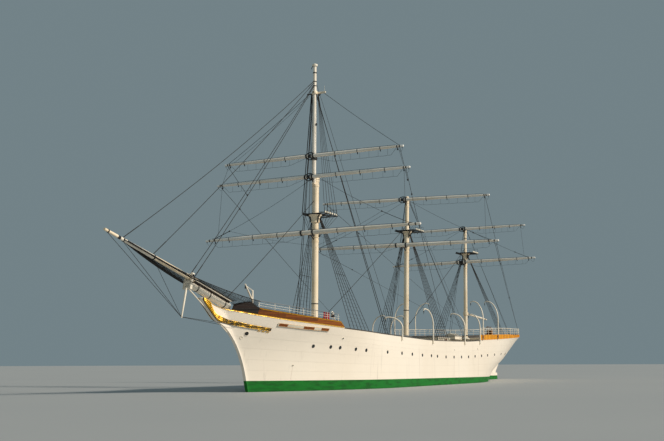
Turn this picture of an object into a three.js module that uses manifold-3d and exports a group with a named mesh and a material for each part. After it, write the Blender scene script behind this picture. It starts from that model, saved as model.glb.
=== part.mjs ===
import * as THREE from 'three';
import { mergeVertices } from 'three/addons/utils/BufferGeometryUtils.js';
import Module from 'manifold-3d';

// A three-masted full-rigged ship at 1:10, in model millimetres: 100 mm stand for 1 m.
// +X is the bow, +Y is port, +Z is up. The origin is amidships, on the centreline at the waterline.

const wasm = await Module();
wasm.setup();

const gap = 0.4;
const edgeGap = 1.2;

// Hull lines
const draught = 550;
const keelHalf = 14;
const cutwaterThickness = 26;
const rabbetMiddle = 3612;
const rabbetRake = 522;
const poopBreak = -1030;
const forecastleBreak = 2640;
const bulwarkHeight = 122;

// Height of the hull's top edge: x, z
const sheerLine = [
  [-3840, 630], [-3237, 604], [-2466, 572], [-1888, 549], [-1044, 520], [-500, 503], [568, 495],
  [1486, 519], [2050, 538], [2650, 568], [3000, 592], [3287, 617], [3550, 648], [3732, 675],
  [3801, 687], [3873, 699], [3964, 714], [4028, 730], [4087, 754], [4180, 773],
];
// Outline of the stem, forefoot and beak: z, x
const stemLine = [
  [-550, 2450], [-520, 2750], [-450, 2990], [-300, 3230], [-150, 3390], [0, 3470], [174, 3529],
  [295, 3588], [397, 3662], [489, 3758], [550, 3852], [592, 3959], [663, 4064], [748, 4168], [790, 4190],
];
// Outline of the sternpost and counter: z, x
const sternLine = [
  [-550, -3290], [0, -3360], [105, -3378], [163, -3450], [236, -3540], [360, -3640],
  [435, -3735], [520, -3792], [600, -3828], [660, -3840],
];
// Waterlines from keel to sheer: level (-1 keel, 0 waterline, 1 sheer), half-breadth,
// where the bow begins, its two powers, where the stern begins, its two powers
const levels = [
  [-1, 0, 900, 1.6, 1.4, -300, 1.7, 3.5],
  [-0.97, 130, 920, 1.6, 1.4, -300, 1.7, 3.4],
  [-0.92, 300, 950, 1.6, 1.36, -300, 1.75, 3.3],
  [-0.85, 425, 1000, 1.65, 1.3, -300, 1.8, 3.2],
  [-0.72, 520, 1100, 1.7, 1.2, -340, 1.95, 3.0],
  [-0.5, 575, 1260, 1.8, 1.1, -400, 2.1, 2.75],
  [-0.25, 594, 1430, 1.85, 1.04, -460, 2.3, 2.5],
  [0, 598, 1570, 1.9, 1.0, -540, 2.4, 2.3],
  [0.25, 600, 1640, 1.9, 1.0, -620, 2.4, 1.8],
  [0.5, 600, 1710, 1.9, 1.0, -700, 2.35, 1.02],
  [0.75, 598, 1850, 1.9, 0.99, -770, 2.25, 0.66],
  [1, 592, 2060, 1.95, 0.98, -840, 2.03, 0.334],
];
const hullLevels = [-1, -0.97, -0.92, -0.85, -0.72, -0.5, -0.25, 0, 0.16, 0.4, 0.6, 0.8, 0.92, 1];
const hullColumns = 52;

const spread = (from, to, count) =>
  Array.from({ length: count + 1 }, (_, i) => from + ((to - from) * i) / count);

// Smooth value of a table's column at a place along its first column
function along(table, place, column = 1) {
  const last = table.length - 1;
  const t = Math.min(Math.max(place, table[0][0]), table[last][0]);
  let k = 0;
  while (k < last - 1 && t > table[k + 1][0]) k += 1;
  const slope = (i) => {
    const a = table[Math.max(i - 1, 0)];
    const b = table[Math.min(i + 1, last)];
    return (b[column] - a[column]) / (b[0] - a[0]);
  };
  const span = table[k + 1][0] - table[k][0];
  const u = (t - table[k][0]) / span;
  const h = u * u * (3 - 2 * u);
  const rise = span * u * (1 - u);
  return table[k][column] * (1 - h) + table[k + 1][column] * h
    + rise * ((1 - u) * slope(k) - u * slope(k + 1));
}

const sheerAt = (x) => along(sheerLine, x);
const mainDeckAt = (x) => sheerAt(x) - bulwarkHeight;
const heightOf = (level, x) => (level > 0 ? level * sheerAt(x) : level * draught);
const levelOf = (z, x) => (z > 0 ? z / sheerAt(x) : z / draught);

function bowEndAt(level, z) {
  const stem = along(stemLine, z);
  return level > 0.5 ? Math.min(stem, rabbetMiddle + rabbetRake * (level - 0.5)) : stem;
}

// Half-breadth of the plating at a level and a place along it
function breadthAt(level, x, z) {
  const at = (column) => along(levels, level, column);
  const forward = x > 0;
  const start = at(forward ? 2 : 5);
  const end = forward ? bowEndAt(level, z) : along(sternLine, z);
  const reach = Math.min(Math.max((x - start) / (end - start), 0), 1);
  const plating = at(1) * (1 - reach ** at(forward ? 3 : 6)) ** at(forward ? 4 : 7);
  return Math.cbrt(plating ** 3 + keelHalf ** 3);
}

const hullBreadth = (x, z) => breadthAt(levelOf(z, x), x, z);

// A point on the hull's side, moved outwards in plan by a distance
function onSide(side, x, z, outward) {
  const step = 4;
  const slope = (hullBreadth(x + step, z) - hullBreadth(x - step, z)) / (2 * step);
  const length = Math.hypot(1, slope);
  return [x - (slope / length) * outward, side * (hullBreadth(x, z) + outward / length), z];
}

function facingOut(geometry) {
  const place = geometry.attributes.position;
  const corners = [0, 1, 2].map(() => new THREE.Vector3());
  let volume = 0;
  for (let i = 0; i < geometry.index.count; i += 3) {
    corners.forEach((corner, k) => corner.fromBufferAttribute(place, geometry.index.getX(i + k)));
    volume += corners[0].dot(corners[1].clone().cross(corners[2]));
  }
  if (volume < 0) {
    const index = Array.from(geometry.index.array);
    for (let i = 0; i < index.length; i += 3) {
      [index[i + 1], index[i + 2]] = [index[i + 2], index[i + 1]];
    }
    geometry.setIndex(index);
  }
  return geometry;
}

// Surface over a row of rings with equally many points, closed at both ends by a ladder of faces
function loft(rings) {
  const count = rings[0].length;
  const faces = [];
  const quad = (a, b, c, d) => faces.push(a, b, c, a, c, d);
  for (let i = 0; i < rings.length - 1; i += 1) {
    for (let j = 0; j < count; j += 1) {
      const next = (j + 1) % count;
      quad(i * count + j, i * count + next, (i + 1) * count + next, (i + 1) * count + j);
    }
  }
  const end = (rings.length - 1) * count;
  for (let j = 0; j < count / 2 - 1; j += 1) {
    const back = count - 1 - j;
    quad(j, back, back - 1, j + 1);
    quad(end + j, end + j + 1, end + back - 1, end + back);
  }
  const geometry = new THREE.BufferGeometry();
  geometry.setAttribute('position', new THREE.Float32BufferAttribute(rings.flat(2), 3));
  geometry.setIndex(faces);
  return facingOut(geometry);
}

function welded(source) {
  const geometry = source.clone();
  geometry.deleteAttribute('normal');
  geometry.deleteAttribute('uv');
  return mergeVertices(geometry, 1e-3);
}

function solidOf(source) {
  const geometry = welded(source);
  return new wasm.Manifold(new wasm.Mesh({
    numProp: 3,
    vertProperties: new Float32Array(geometry.attributes.position.array),
    triVerts: new Uint32Array(geometry.index.array),
  }));
}

function geometryOf(solid) {
  const mesh = solid.getMesh();
  const geometry = new THREE.BufferGeometry();
  geometry.setAttribute('position', new THREE.Float32BufferAttribute(Array.from(mesh.vertProperties), 3));
  geometry.setIndex(Array.from(mesh.triVerts));
  return geometry;
}

// Pieces joined into one, and tools cut out of them
function shaped(pieces, tools = []) {
  const body = pieces.map(solidOf).reduce((all, piece) => all.add(piece));
  return geometryOf(tools.map(solidOf).reduce((left, tool) => left.subtract(tool), body));
}

const boxAt = (x, y, z, length, width, height) =>
  new THREE.BoxGeometry(length, width, height).translate(x, y, z + height / 2);

// Piece turned about an upright axis: rows of radius, height
const turned = (rows, facets, x = 0, y = 0, z = 0) =>
  new THREE.LatheGeometry(rows.map(([r, h]) => new THREE.Vector2(r, h)), facets)
    .rotateX(Math.PI / 2).translate(x, y, z);

const drum = (radius, low, high, facets, x = 0, y = 0, z = 0) =>
  turned([[0, low], [radius, low], [radius, high], [0, high]], facets, x, y, z);

// Round bar along a smooth route
function bentBar(route, radius, facets, steps) {
  const corner = (k) => {
    const angle = (2 * Math.PI * k) / facets;
    return new THREE.Vector2(radius * Math.cos(angle), radius * Math.sin(angle));
  };
  const section = new THREE.Shape(Array.from({ length: facets }, (_, k) => corner(k)));
  const points = route.map((point) => new THREE.Vector3(...point));
  const path = new THREE.CatmullRomCurve3(points, false, 'centripetal');
  return new THREE.ExtrudeGeometry(section, { steps, extrudePath: path });
}

// Straight round bar whose radii are spaced evenly along it
function bar(from, to, radii, facets) {
  const start = new THREE.Vector3(...from);
  const way = new THREE.Vector3(...to).sub(start);
  const length = way.length();
  const rows = radii.map((r, k) => [r, (length * k) / (radii.length - 1)]);
  return turned([[0, 0], ...rows, [0, length]], facets)
    .applyQuaternion(new THREE.Quaternion().setFromUnitVectors(new THREE.Vector3(0, 0, 1), way.normalize()))
    .translate(...from);
}

// Flat plate cut from an outline in the ship's upright middle plane: rows of x, z
const uprightPlate = (outline, thickness) =>
  new THREE.ExtrudeGeometry(new THREE.Shape(outline.map(([x, z]) => new THREE.Vector2(x, z))),
    { depth: thickness, bevelEnabled: false })
    .rotateX(Math.PI / 2).translate(0, thickness / 2, 0);

// Finishes: colour, roughness, metalness
const finishes = {
  white: [0xf1e6d3, 0.45, 0],
  spar: [0xeee3ca, 0.4, 0],
  wood: [0xa5561c, 0.35, 0],
  varnish: [0xd08a22, 0.35, 0],
  gilt: [0xe0b021, 0.35, 0.4],
  dark: [0x2b2622, 0.6, 0],
  grey: [0x6b6a66, 0.6, 0],
  red: [0x6d3026, 0.6, 0],
  rope: [0x3a332d, 0.8, 0],
};

const ship = new THREE.Group();

function place(name, geometry, finish) {
  const [color, roughness, metalness] = finishes[finish];
  const mesh = new THREE.Mesh(welded(geometry), new THREE.MeshStandardMaterial({ color, roughness, metalness }));
  mesh.name = name;
  ship.add(mesh);
}

const sides = [['port', 1], ['starboard', -1]];

// Rudder, hung on the raked sternpost, its post rising into a trunk in the counter
const rudderAhead = 20;
const rudderRake = 70 / 550;
const rudderFoot = -530;
const rudderPostTop = 215;
const rudderPostRadius = 12;
const moveGap = 6;
const rudderAxis = (z) => [-3360 - rudderAhead - rudderRake * z, 0, z];

function rudder() {
  const blade = uprightPlate([[rudderAxis(rudderFoot)[0], rudderFoot], [-3440, -520], [-3497, -400],
    [-3500, -220], [-3478, 0], [-3467, 98], [rudderAxis(88)[0], 88]], 20);
  return shaped([blade, bar(rudderAxis(rudderFoot), rudderAxis(rudderPostTop),
    [rudderPostRadius, rudderPostRadius], 14)]);
}
place('rudder', rudder(), 'red');

// Capstan on the forecastle deck
const capstanX = 3240;
const capstanSeat = sheerAt(capstanX) + 6;
const spindleRadius = 6;

const capstan = shaped([turned([[0, 0], [40, 0], [40, 10], [30, 18], [26, 45], [32, 66], [44, 72],
  [44, 92], [0, 92]], 16, capstanX, 0, capstanSeat + gap)],
[drum(spindleRadius + 1, -5, 62, 12, capstanX, 0, capstanSeat)]);
place('capstan', capstan, 'dark');

// Anchor crane, turning on a seat ahead of the capstan
const craneX = 3390;
const craneSeat = sheerAt(craneX) + 4;

const anchorCrane = shaped([drum(8, gap, 250, 12, craneX, 0, craneSeat), drum(12, gap, 14, 14, craneX, 0, craneSeat),
  bar([craneX - 4, 0, craneSeat + 150], [3513, 0, 926], [8, 6.5], 10),
  bar([craneX, 0, craneSeat + 244], [3500, 0, 912], [3, 3], 6)]);
place('anchor_crane', anchorCrane, 'white');

// Hull: plating with its decks, and the cutwater that carries the beak
const wellStations = spread(poopBreak, forecastleBreak, 16);
const above = 900;

function hullRing(fraction) {
  const eased = 0.3 * fraction + 0.7 * (0.5 - 0.5 * Math.cos(Math.PI * fraction));
  const port = hullLevels.map((level) => {
    let x = 0;
    let z = 0;
    for (let turn = 0; turn < 12; turn += 1) {
      z = heightOf(level, x);
      const stern = along(sternLine, z);
      x = stern + (bowEndAt(level, z) - stern) * eased;
    }
    return [x, breadthAt(level, x, z), z];
  });
  return [...port, ...port.map(([x, y, z]) => [x, -y, z]).reverse()];
}

function cutwater() {
  const front = stemLine.filter(([z]) => z > 200 && z < 770).map(([z, x]) => [x, z]);
  const back = spread(4176, 3700, 6).map((x) => [x, sheerAt(x)]);
  return uprightPlate([[3540, 220], ...front, ...back], cutwaterThickness);
}

function hull() {
  const plating = loft(spread(0, 1, hullColumns).map(hullRing));
  const well = uprightPlate([[poopBreak, above], ...wellStations.map((x) => [x, mainDeckAt(x)]),
    [forecastleBreak, above]], 1400);
  const trunk = bar(rudderAxis(60), rudderAxis(rudderPostTop + moveGap + 4),
    [rudderPostRadius + moveGap, rudderPostRadius + moveGap], 16);
  const seats = [drum(42, -12, 0, 20, capstanX, 0, capstanSeat), drum(16, -12, 0, 16, craneX, 0, craneSeat)];
  const spindle = drum(spindleRadius, -6, 56, 12, capstanX, 0, capstanSeat);
  return shaped([shaped([plating], [well]), cutwater(), ...seats, spindle], [trunk]);
}
place('hull', hull(), 'white');

// Boat davits: x, height above the foot, reach, heading from inboard towards the bow in degrees
const davits = [
  [1475, 220, 170, 30], [617, 362, 170, 76], [-414, 356, 170, 5],
  [-970, 360, 165, -15], [-1102, 467, 170, -10], [-1764, 479, 190, -10],
];
const davitRadius = 7;
const davitOutward = 11.5;
const socketHeight = 12;
const davitFoot = (x) => (x < poopBreak ? sheerAt(x) + 22 : sheerAt(x) - 34);

function davit(side, [x, height, reach, heading]) {
  const [px, py] = onSide(side, x, sheerAt(x), davitOutward);
  const turn = (heading * Math.PI) / 180;
  const at = (out, up) => [px + Math.sin(turn) * out, py - side * Math.cos(turn) * out, davitFoot(x) + gap + up];
  const straight = height * 0.58;
  return bentBar([at(0, 0), at(0, straight * 0.5), at(0, straight), at(reach * 0.13, height * 0.78),
    at(reach * 0.42, height * 0.94), at(reach * 0.78, height), at(reach, height * 0.985)], davitRadius, 7, 13);
}

function davitSocket(side, x) {
  const [px, py] = onSide(side, x, sheerAt(x), davitOutward - 3);
  return boxAt(px, py, davitFoot(x) - socketHeight, 22, 26, socketHeight);
}

// Wall that follows the hull's side: rows of height and how far out, from the foot up and back down
const wall = (side, stations, rows) =>
  loft(stations.map((x) => rows(x).map(([z, outward]) => onSide(side, x, z, outward))));

const plateThickness = 10;
const railDepth = 9;
const railOut = 3;
const railIn = 18;

function mainBulwark(side) {
  const plate = wall(side, wellStations, (x) => {
    const foot = mainDeckAt(x) + gap;
    const top = sheerAt(x);
    return [[foot, 0], [top - railDepth, 0], [top - 6, railOut], [top, railOut],
      [top, -railIn], [top - 6, -railIn], [top - railDepth, -plateThickness], [foot, -plateThickness]];
  });
  const sockets = davits.filter(([x]) => x > poopBreak).map(([x]) => davitSocket(side, x));
  return shaped([plate, ...sockets]);
}

// Wooden bands on the edge of the raised decks, with their stanchions and rail
const bandThickness = 12;
// Heights of these bands: x, height
const forecastleBandLine = [
  [2640, 51], [3287, 60], [3600, 62], [3635, 76], [3667, 90], [3730, 72], [3795, 46],
];
const poopBandLine = [[-3840, 36], [-3000, 40], [-2200, 59], [-1030, 66]];
const forecastleBand = (x) => along(forecastleBandLine, x);
const poopBand = (x) => along(poopBandLine, x);
const forecastleStations = [...spread(forecastleBreak + 2, 3590, 12), 3615, 3640, 3667, 3698, 3730, 3762, 3795];
const poopStations = [...spread(-3836, -3700, 6), ...spread(-3600, poopBreak - 2, 14)];

function band(side, stations, heightAt) {
  return wall(side, stations, (x) => {
    const foot = sheerAt(x) + edgeGap;
    const top = sheerAt(x) + heightAt(x);
    return [[foot, 0], [top, 0], [top, -bandThickness], [foot, -bandThickness]];
  });
}

function railing(side, stations, heightAt, height, postEvery) {
  const topOf = (x) => {
    const [px, py] = onSide(side, x, sheerAt(x), -bandThickness / 2);
    return [px, py, sheerAt(x) + heightAt(x) + height];
  };
  const [first, last] = [stations[0] + 20, stations[stations.length - 1] - 20];
  const posts = spread(first, last, Math.round((last - first) / postEvery)).map((x) => {
    const [px, py, pz] = topOf(x);
    return drum(2.5, -height - 6, 0, 6, px, py, pz);
  });
  return [bentBar(stations.map(topOf), 3, 6, 2 * stations.length), ...posts];
}

function forecastleBulwark(side) {
  const railed = forecastleStations.filter((x) => x < 3600);
  return shaped([band(side, forecastleStations, forecastleBand),
    ...railing(side, railed, forecastleBand, 62, 150)]);
}

function poopBulwark(side) {
  const railed = poopStations.filter((x) => x > -3790);
  const sockets = davits.filter(([x]) => x < poopBreak).map(([x]) => davitSocket(side, x));
  return shaped([band(side, poopStations, poopBand), ...railing(side, railed, poopBand, 82, 160), ...sockets]);
}

sides.forEach(([word, side]) => {
  place(`main_bulwark_${word}`, mainBulwark(side), 'white');
  place(`forecastle_bulwark_${word}`, forecastleBulwark(side), 'wood');
  place(`poop_bulwark_${word}`, poopBulwark(side), 'varnish');
  davits.forEach((row, k) => place(`davit_${word}_${k + 1}`, davit(side, row), 'white'));
});

// Carved boards along the beak and the bow, and plain name boards
const boardOff = 5;
const boardFace = 10;
// Trail board and name board: x, lower edge, upper edge
const trailLine = [
  [3423, 516, 542], [3572, 535, 564], [3652, 547, 578], [3718, 558, 593], [3812, 572, 609],
  [3955, 592, 638], [4000, 619, 652], [4035, 643, 684], [4062, 664, 716], [4088, 683, 746],
  [4130, 716, 760], [4172, 756, 769],
];
const nameLine = [[2838, 527, 553], [3124, 541, 567], [3380, 562, 588]];

const board = (side, from, to, steps, edges) => wall(side, spread(from, to, steps), (x) => {
  const [low, high] = edges(x);
  return [[low, boardOff], [low, boardFace], [high, boardFace], [high, boardOff]];
});

sides.forEach(([word, side]) => {
  place(`trail_board_${word}`, board(side, 3423, 4172, 20,
    (x) => [along(trailLine, x, 1), along(trailLine, x, 2)]), 'gilt');
  place(`name_board_${word}`, board(side, 2838, 3380, 6,
    (x) => [along(nameLine, x, 1), along(nameLine, x, 2)]), 'wood');
});

// Bowsprit with its cap, jib boom above it, and martingale below
const bowspritHeel = [3785, 0, 718];
const bowspritSlope = 0.27;
const jibHeel = [4225, 0, 890.5];
const jibTip = [5368, 0, 1186];
const jibSlope = (jibTip[2] - jibHeel[2]) / (jibTip[0] - jibHeel[0]);
const capX = 4350;
const bowspritAt = (x) => [x, 0, bowspritHeel[2] + (x - bowspritHeel[0]) * bowspritSlope];
const jibAt = (x) => [x, 0, jibHeel[2] + (x - jibHeel[0]) * jibSlope];

function bowsprit() {
  const cap = boxAt(0, 0, -48, 26, 78, 116).rotateY(-Math.atan(bowspritSlope))
    .translate(capX, 0, bowspritAt(capX)[2] + 20);
  return shaped([bar(bowspritHeel, bowspritAt(capX + 14), [32, 29.5], 18), cap],
    [bar(jibAt(capX - 120), jibAt(capX + 120), [19.8, 19.8], 16)]);
}
place('bowsprit', bowsprit(), 'white');
place('jib_boom', bar(jibHeel, jibTip, [19, 19, 17, 14, 10], 14), 'spar');
place('martingale', bar([4378, 0, 832], [4434, 0, 597], [9, 6], 8), 'white');

// Masts: x at the waterline, rake aft, foot radius, then rows of height and radius above the foot
const masts = {
  fore: {
    x: 2251, rake: 0.018, footRadius: 33, deckAt: mainDeckAt,
    rows: [[1640, 32], [2085, 33], [2098, 28]],
  },
  main: {
    x: -15, rake: 0.056, footRadius: 31, deckAt: mainDeckAt,
    rows: [[1740, 29], [1850, 24], [2236, 22], [2243, 18]],
  },
  mizzen: {
    x: -2117, rake: 0.05, footRadius: 26, deckAt: sheerAt,
    rows: [[1690, 25], [1780, 20], [2114, 18], [2121, 15]],
  },
};
// Fore topmast, stepped ahead of the head of the lower mast: rows of height and radius
const topmastAhead = 38;
const topmastRows = [[2008, 14], [2022, 20], [2950, 18.5], [3090, 17], [3226, 16], [3232, 22], [3249, 22], [3256, 14]];
const lowerHead = 2110;

// Middle of a mast's lower part, and of whatever part of it stands at a height
const mastX = (mast, z) => masts[mast].x - masts[mast].rake * z;
const spineX = (mast, z) => mastX(mast, z) + (mast === 'fore' && z > lowerHead ? topmastAhead : 0);

function mastRows(mast) {
  const { x, rake, footRadius, deckAt, rows } = masts[mast];
  const centre = x - rake * deckAt(x);
  const foot = edgeGap + Math.max(deckAt(centre - footRadius), deckAt(centre + footRadius));
  return [[foot, footRadius], ...rows];
}
const mastRadius = (mast, z) => along(mastRows(mast), z);

function raked(geometry, mast) {
  const { x, rake } = masts[mast];
  return geometry.applyMatrix4(new THREE.Matrix4().set(1, 0, -rake, x, 0, 1, 0, 0, 0, 0, 1, 0, 0, 0, 0, 1));
}

// Yards: mast, height, half length, middle and tip radius, distance ahead of the mast, pin ahead of it,
// and how far the port arm is trimmed up, in degrees
const yards = {
  fore_yard: ['fore', 1505, 1192, 23, 11, 165, 103, 0.6],
  fore_lower_topsail_yard: ['fore', 2065, 1081, 18, 10, 144, 93, 0],
  fore_upper_topsail_yard: ['fore', 2280, 1007, 18, 10, 86, 46, 0],
  main_yard: ['main', 1627, 1200, 23, 11, 168, 106, -0.6],
  main_topsail_yard: ['main', 2185, 1085, 18, 10, 132, 82, -1.4],
  crossjack_yard: ['mizzen', 1612, 1032, 20, 10, 155, 95, 0.7],
  mizzen_topsail_yard: ['mizzen', 2081, 887, 17, 9, 108, 61, 0],
};
const pinRadius = 6;
const pinPlay = 1;
const yokeThickness = 12;
const armHeight = 14;

// Arm on a mast or a sliding ring, with the upright pin on which a yard swings
function yardArm(mast, z, pinAhead) {
  const x = spineX(mast, z);
  const armTop = z - yokeThickness / 2 - pinPlay;
  return [boxAt(x + (pinAhead + 10) / 2, 0, armTop - armHeight, pinAhead + 10, 20, armHeight),
    drum(pinRadius, -4, 20, 12, x + pinAhead, 0, armTop)];
}

// Strut from a mast up to the end of such an arm
const armStrut = (mast, z, pinAhead) =>
  bar([mastX(mast, z - 66), 0, z - 66], [mastX(mast, z) + pinAhead - 4, 0, z - 15], [6, 5], 8);

function yard(name) {
  const [mast, z, half, middle, tip, ahead, pinAhead, trim] = yards[name];
  const shoulder = (tip + middle) * 0.56;
  const rows = [[0, -half], [tip, -half], [shoulder, -half * 0.6], [middle, -half * 0.12],
    [middle, half * 0.12], [shoulder, half * 0.6], [tip, half], [0, half]];
  const spar = new THREE.LatheGeometry(rows.map(([r, y]) => new THREE.Vector2(r, y)), 12)
    .rotateX((trim * Math.PI) / 180).translate(spineX(mast, z) + ahead, 0, z);
  const eye = pinRadius + 9;
  const yoke = new THREE.Shape();
  yoke.absarc(pinAhead, 0, eye, Math.PI / 2, 1.5 * Math.PI);
  yoke.lineTo(ahead, -eye - 6);
  yoke.lineTo(ahead, eye + 6);
  const hole = new THREE.Path();
  hole.absarc(pinAhead, 0, pinRadius + pinPlay, 0, 2 * Math.PI, true);
  yoke.holes.push(hole);
  const plate = new THREE.ExtrudeGeometry(yoke, { depth: yokeThickness, bevelEnabled: false, curveSegments: 8 })
    .translate(spineX(mast, z), 0, z - yokeThickness / 2);
  return shaped([spar, plate]);
}
Object.keys(yards).forEach((name) => place(name, yard(name), 'spar'));

// Spanker boom on its gooseneck behind the mizzenmast
const boomHeight = 912;
const goose = [mastX('mizzen', boomHeight) - 52, 0, boomHeight];
const boomEnd = [-3060, 0, 862];

function gooseneck() {
  const x = mastX('mizzen', boomHeight);
  const radius = mastRadius('mizzen', boomHeight);
  return [drum(radius + 8, -22, 20, 20, x, 0, boomHeight),
    boxAt((goose[0] - 9 + x) / 2, 0, boomHeight - 20, x - goose[0] + 9, 18, 8),
    drum(pinRadius, -16, 16, 12, ...goose)];
}

function spankerBoom() {
  const spar = bar([goose[0] - 12, 0, boomHeight], boomEnd, [9, 13, 13, 9], 12);
  return shaped([spar, drum(13, -10, 10, 14, ...goose)], [drum(pinRadius + pinPlay, -20, 20, 14, ...goose)]);
}
place('spanker_boom', spankerBoom(), 'spar');

function mastBody(mast, armed, fittings = []) {
  const rows = mastRows(mast);
  const [first, last] = [rows[0][0], rows[rows.length - 1][0]];
  const body = raked(turned([[0, first], ...rows.map(([z, r]) => [r, z]), [0, last]], 20), mast);
  const arms = armed.flatMap((name) => {
    const [, z, , , , , pinAhead] = yards[name];
    return [...yardArm(mast, z, pinAhead), armStrut(mast, z, pinAhead)];
  });
  return shaped([body, ...arms, ...fittings]);
}

function foreTopmast() {
  const [first, last] = [topmastRows[0][0], topmastRows[topmastRows.length - 1][0]];
  const pole = raked(turned([[0, first], ...topmastRows.map(([z, r]) => [r, z]), [0, last]], 20), 'fore');
  const cap = boxAt(mastX('fore', 2080) + 13, 0, 2074, 98, 54, 14);
  return [pole.translate(topmastAhead, 0, 0), cap];
}
place('foremast', mastBody('fore', ['fore_yard', 'fore_lower_topsail_yard'], foreTopmast()), 'spar');
place('mainmast', mastBody('main', ['main_yard', 'main_topsail_yard']), 'spar');
place('mizzenmast', mastBody('mizzen', ['crossjack_yard', 'mizzen_topsail_yard'], gooseneck()), 'spar');

// Ring that carries the upper topsail yard up and down the foremast
function parrel() {
  const [mast, z, , , , , pinAhead] = yards.fore_upper_topsail_yard;
  const x = spineX(mast, z);
  return shaped([drum(31, -24, 24, 20, x, 0, z), ...yardArm(mast, z, pinAhead)], [drum(23, -60, 60, 20, x, 0, z)]);
}
place('fore_topsail_parrel', parrel(), 'dark');

// Tops, open frames round the masts: mast, height, half width, forward reach, aft reach
const tops = {
  fore_top: ['fore', 1716, 130, 60, 240],
  main_top: ['main', 1824, 140, 85, 215],
  mizzen_top: ['mizzen', 1758, 130, 75, 190],
};
const topThickness = 12;
const beamWidth = 15;
const kneeReach = 88;
const kneeDrop = 84;
const kneeHeadings = [60, 120, 240, 300];

function topFloor(half, forward, aft) {
  const corner = 40;
  const floor = new THREE.Shape();
  floor.moveTo(-aft, -half);
  floor.lineTo(forward - corner, -half);
  floor.absarc(forward - corner, corner - half, corner, -Math.PI / 2, 0);
  floor.absarc(forward - corner, half - corner, corner, 0, Math.PI / 2);
  floor.lineTo(-aft, half);
  return new THREE.ExtrudeGeometry(floor, { depth: topThickness, bevelEnabled: false, curveSegments: 5 });
}

// Bays between the beams of a top, from aft forwards, on both sides of the trestles and between them
function topBays(hub, half, forward, aft) {
  const inner = hub + beamWidth;
  const edges = [-aft, -(aft + hub) / 2, -hub, hub, forward];
  return edges.slice(1).flatMap((to, k) => {
    const from = edges[k] + beamWidth / (k ? 2 : 1);
    const end = to - beamWidth / (to === forward ? 1 : 2);
    const bay = (low, high) => boxAt((from + end) / 2, (low + high) / 2, -1, end - from, high - low, topThickness + 2);
    const besides = [bay(inner, half - beamWidth), bay(beamWidth - half, -inner)];
    return end < from ? [] : k < 2 ? [...besides, bay(-hub, hub)] : besides;
  });
}

function knee(hub, heading) {
  const curve = new THREE.Shape();
  curve.moveTo(hub - 4, 0);
  curve.lineTo(kneeReach, 0);
  curve.lineTo(kneeReach, -6);
  curve.quadraticCurveTo(hub + 10, -12, hub + 4, -kneeDrop);
  curve.lineTo(hub - 4, -kneeDrop);
  return new THREE.ExtrudeGeometry(curve, { depth: 8, bevelEnabled: false, curveSegments: 6 })
    .rotateX(Math.PI / 2).translate(0, 4, 0).rotateZ((heading * Math.PI) / 180);
}

function top(name) {
  const [mast, z, half, forward, aft] = tops[name];
  const x = mastX(mast, z);
  const hub = mastRadius(mast, z) + 11;
  const floor = shaped([topFloor(half, forward, aft)], topBays(hub, half, forward, aft))
    .translate(x, 0, z - topThickness);
  const knees = kneeHeadings.map((heading) => knee(hub, heading).translate(x, 0, z - 4));
  const clear = (h) => [mastRadius(mast, h) + 2.5, h];
  const bore = raked(turned([[0, z - 150], clear(z - 150), clear(z - 60), clear(z + 40), [0, z + 40]], 20), mast);
  return shaped([floor, drum(hub, -24, 0, 20, x, 0, z), drum(hub, -kneeDrop - 8, 12 - kneeDrop, 20, x, 0, z), ...knees],
    [bore]);
}
Object.keys(tops).forEach((name) => place(name, top(name), 'dark'));

function crosstrees() {
  const z = 2955;
  const x = spineX('fore', z);
  const bore = raked(turned([[0, z - 60], [21, z - 60], [20.5, z + 60], [0, z + 60]], 16), 'fore')
    .translate(topmastAhead, 0, 0);
  return shaped([drum(29, -20, 12, 16, x, 0, z), boxAt(x - topmastAhead, 0, z - 5, 14, 208, 10),
    boxAt(x - 45, 0, z - 4, 140, 14, 9)], [bore]);
}
place('fore_crosstrees', crosstrees(), 'dark');

// Main stays, which sag a little: from, to, sag
const stayRadius = 3;
const stays = {
  fore_stay: [[2256, 0, 1838], [3832, 0, 768], 12],
  fore_topmast_stay_port: [[2255.5, 6, 3022], [4326, 30, 912], 36],
  fore_topmast_stay_starboard: [[2255.5, -6, 3022], [4326, -30, 912], 36],
  jib_stay: [[2255.5, 0, 3050], [4804, 0, 1064], 36],
  fore_topgallant_stay: [[2255, 0, 3068], [5160, 0, 1150], 48],
  main_stay: [[-92, 0, 1872], [2202, 0, 616], 12],
  mizzen_stay: [[-2180, 0, 1806], [-89, 0, 670], 12],
};

function stay([from, to, sag]) {
  const route = spread(0, 1, 4).map((t) => {
    const drop = 4 * sag * t * (1 - t);
    return from.map((start, k) => start + (to[k] - start) * t - (k === 2 ? drop : 0));
  });
  return bentBar(route, stayRadius, 6, 8);
}
Object.entries(stays).forEach(([name, row]) => place(name, stay(row), 'rope'));

// Deck houses, hatches and skylight: x, length, width, height, deck
const deckPieces = {
  fore_deckhouse: [1580, 420, 380, 150, mainDeckAt],
  fore_hatch: [1180, 220, 220, 45, mainDeckAt],
  midship_deckhouse: [640, 640, 460, 165, mainDeckAt],
  main_hatch: [-330, 260, 240, 45, mainDeckAt],
  aft_deckhouse: [-750, 420, 440, 165, mainDeckAt],
  poop_skylight: [-1640, 260, 160, 80, sheerAt],
};
Object.entries(deckPieces).forEach(([name, [x, length, width, height, deckAt]]) => {
  const low = edgeGap + Math.max(...[-0.5, 0, 0.5].map((end) => deckAt(x + end * length)));
  place(name, boxAt(x, 0, low, length, width, height), 'grey');
});

// Steering wheel on the box that holds its gear
const wheelX = -3130;
const wheelHeight = sheerAt(wheelX) + 98;
const wheelRadius = 60;
const shaftRadius = 5;
const spokes = 8;

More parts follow.
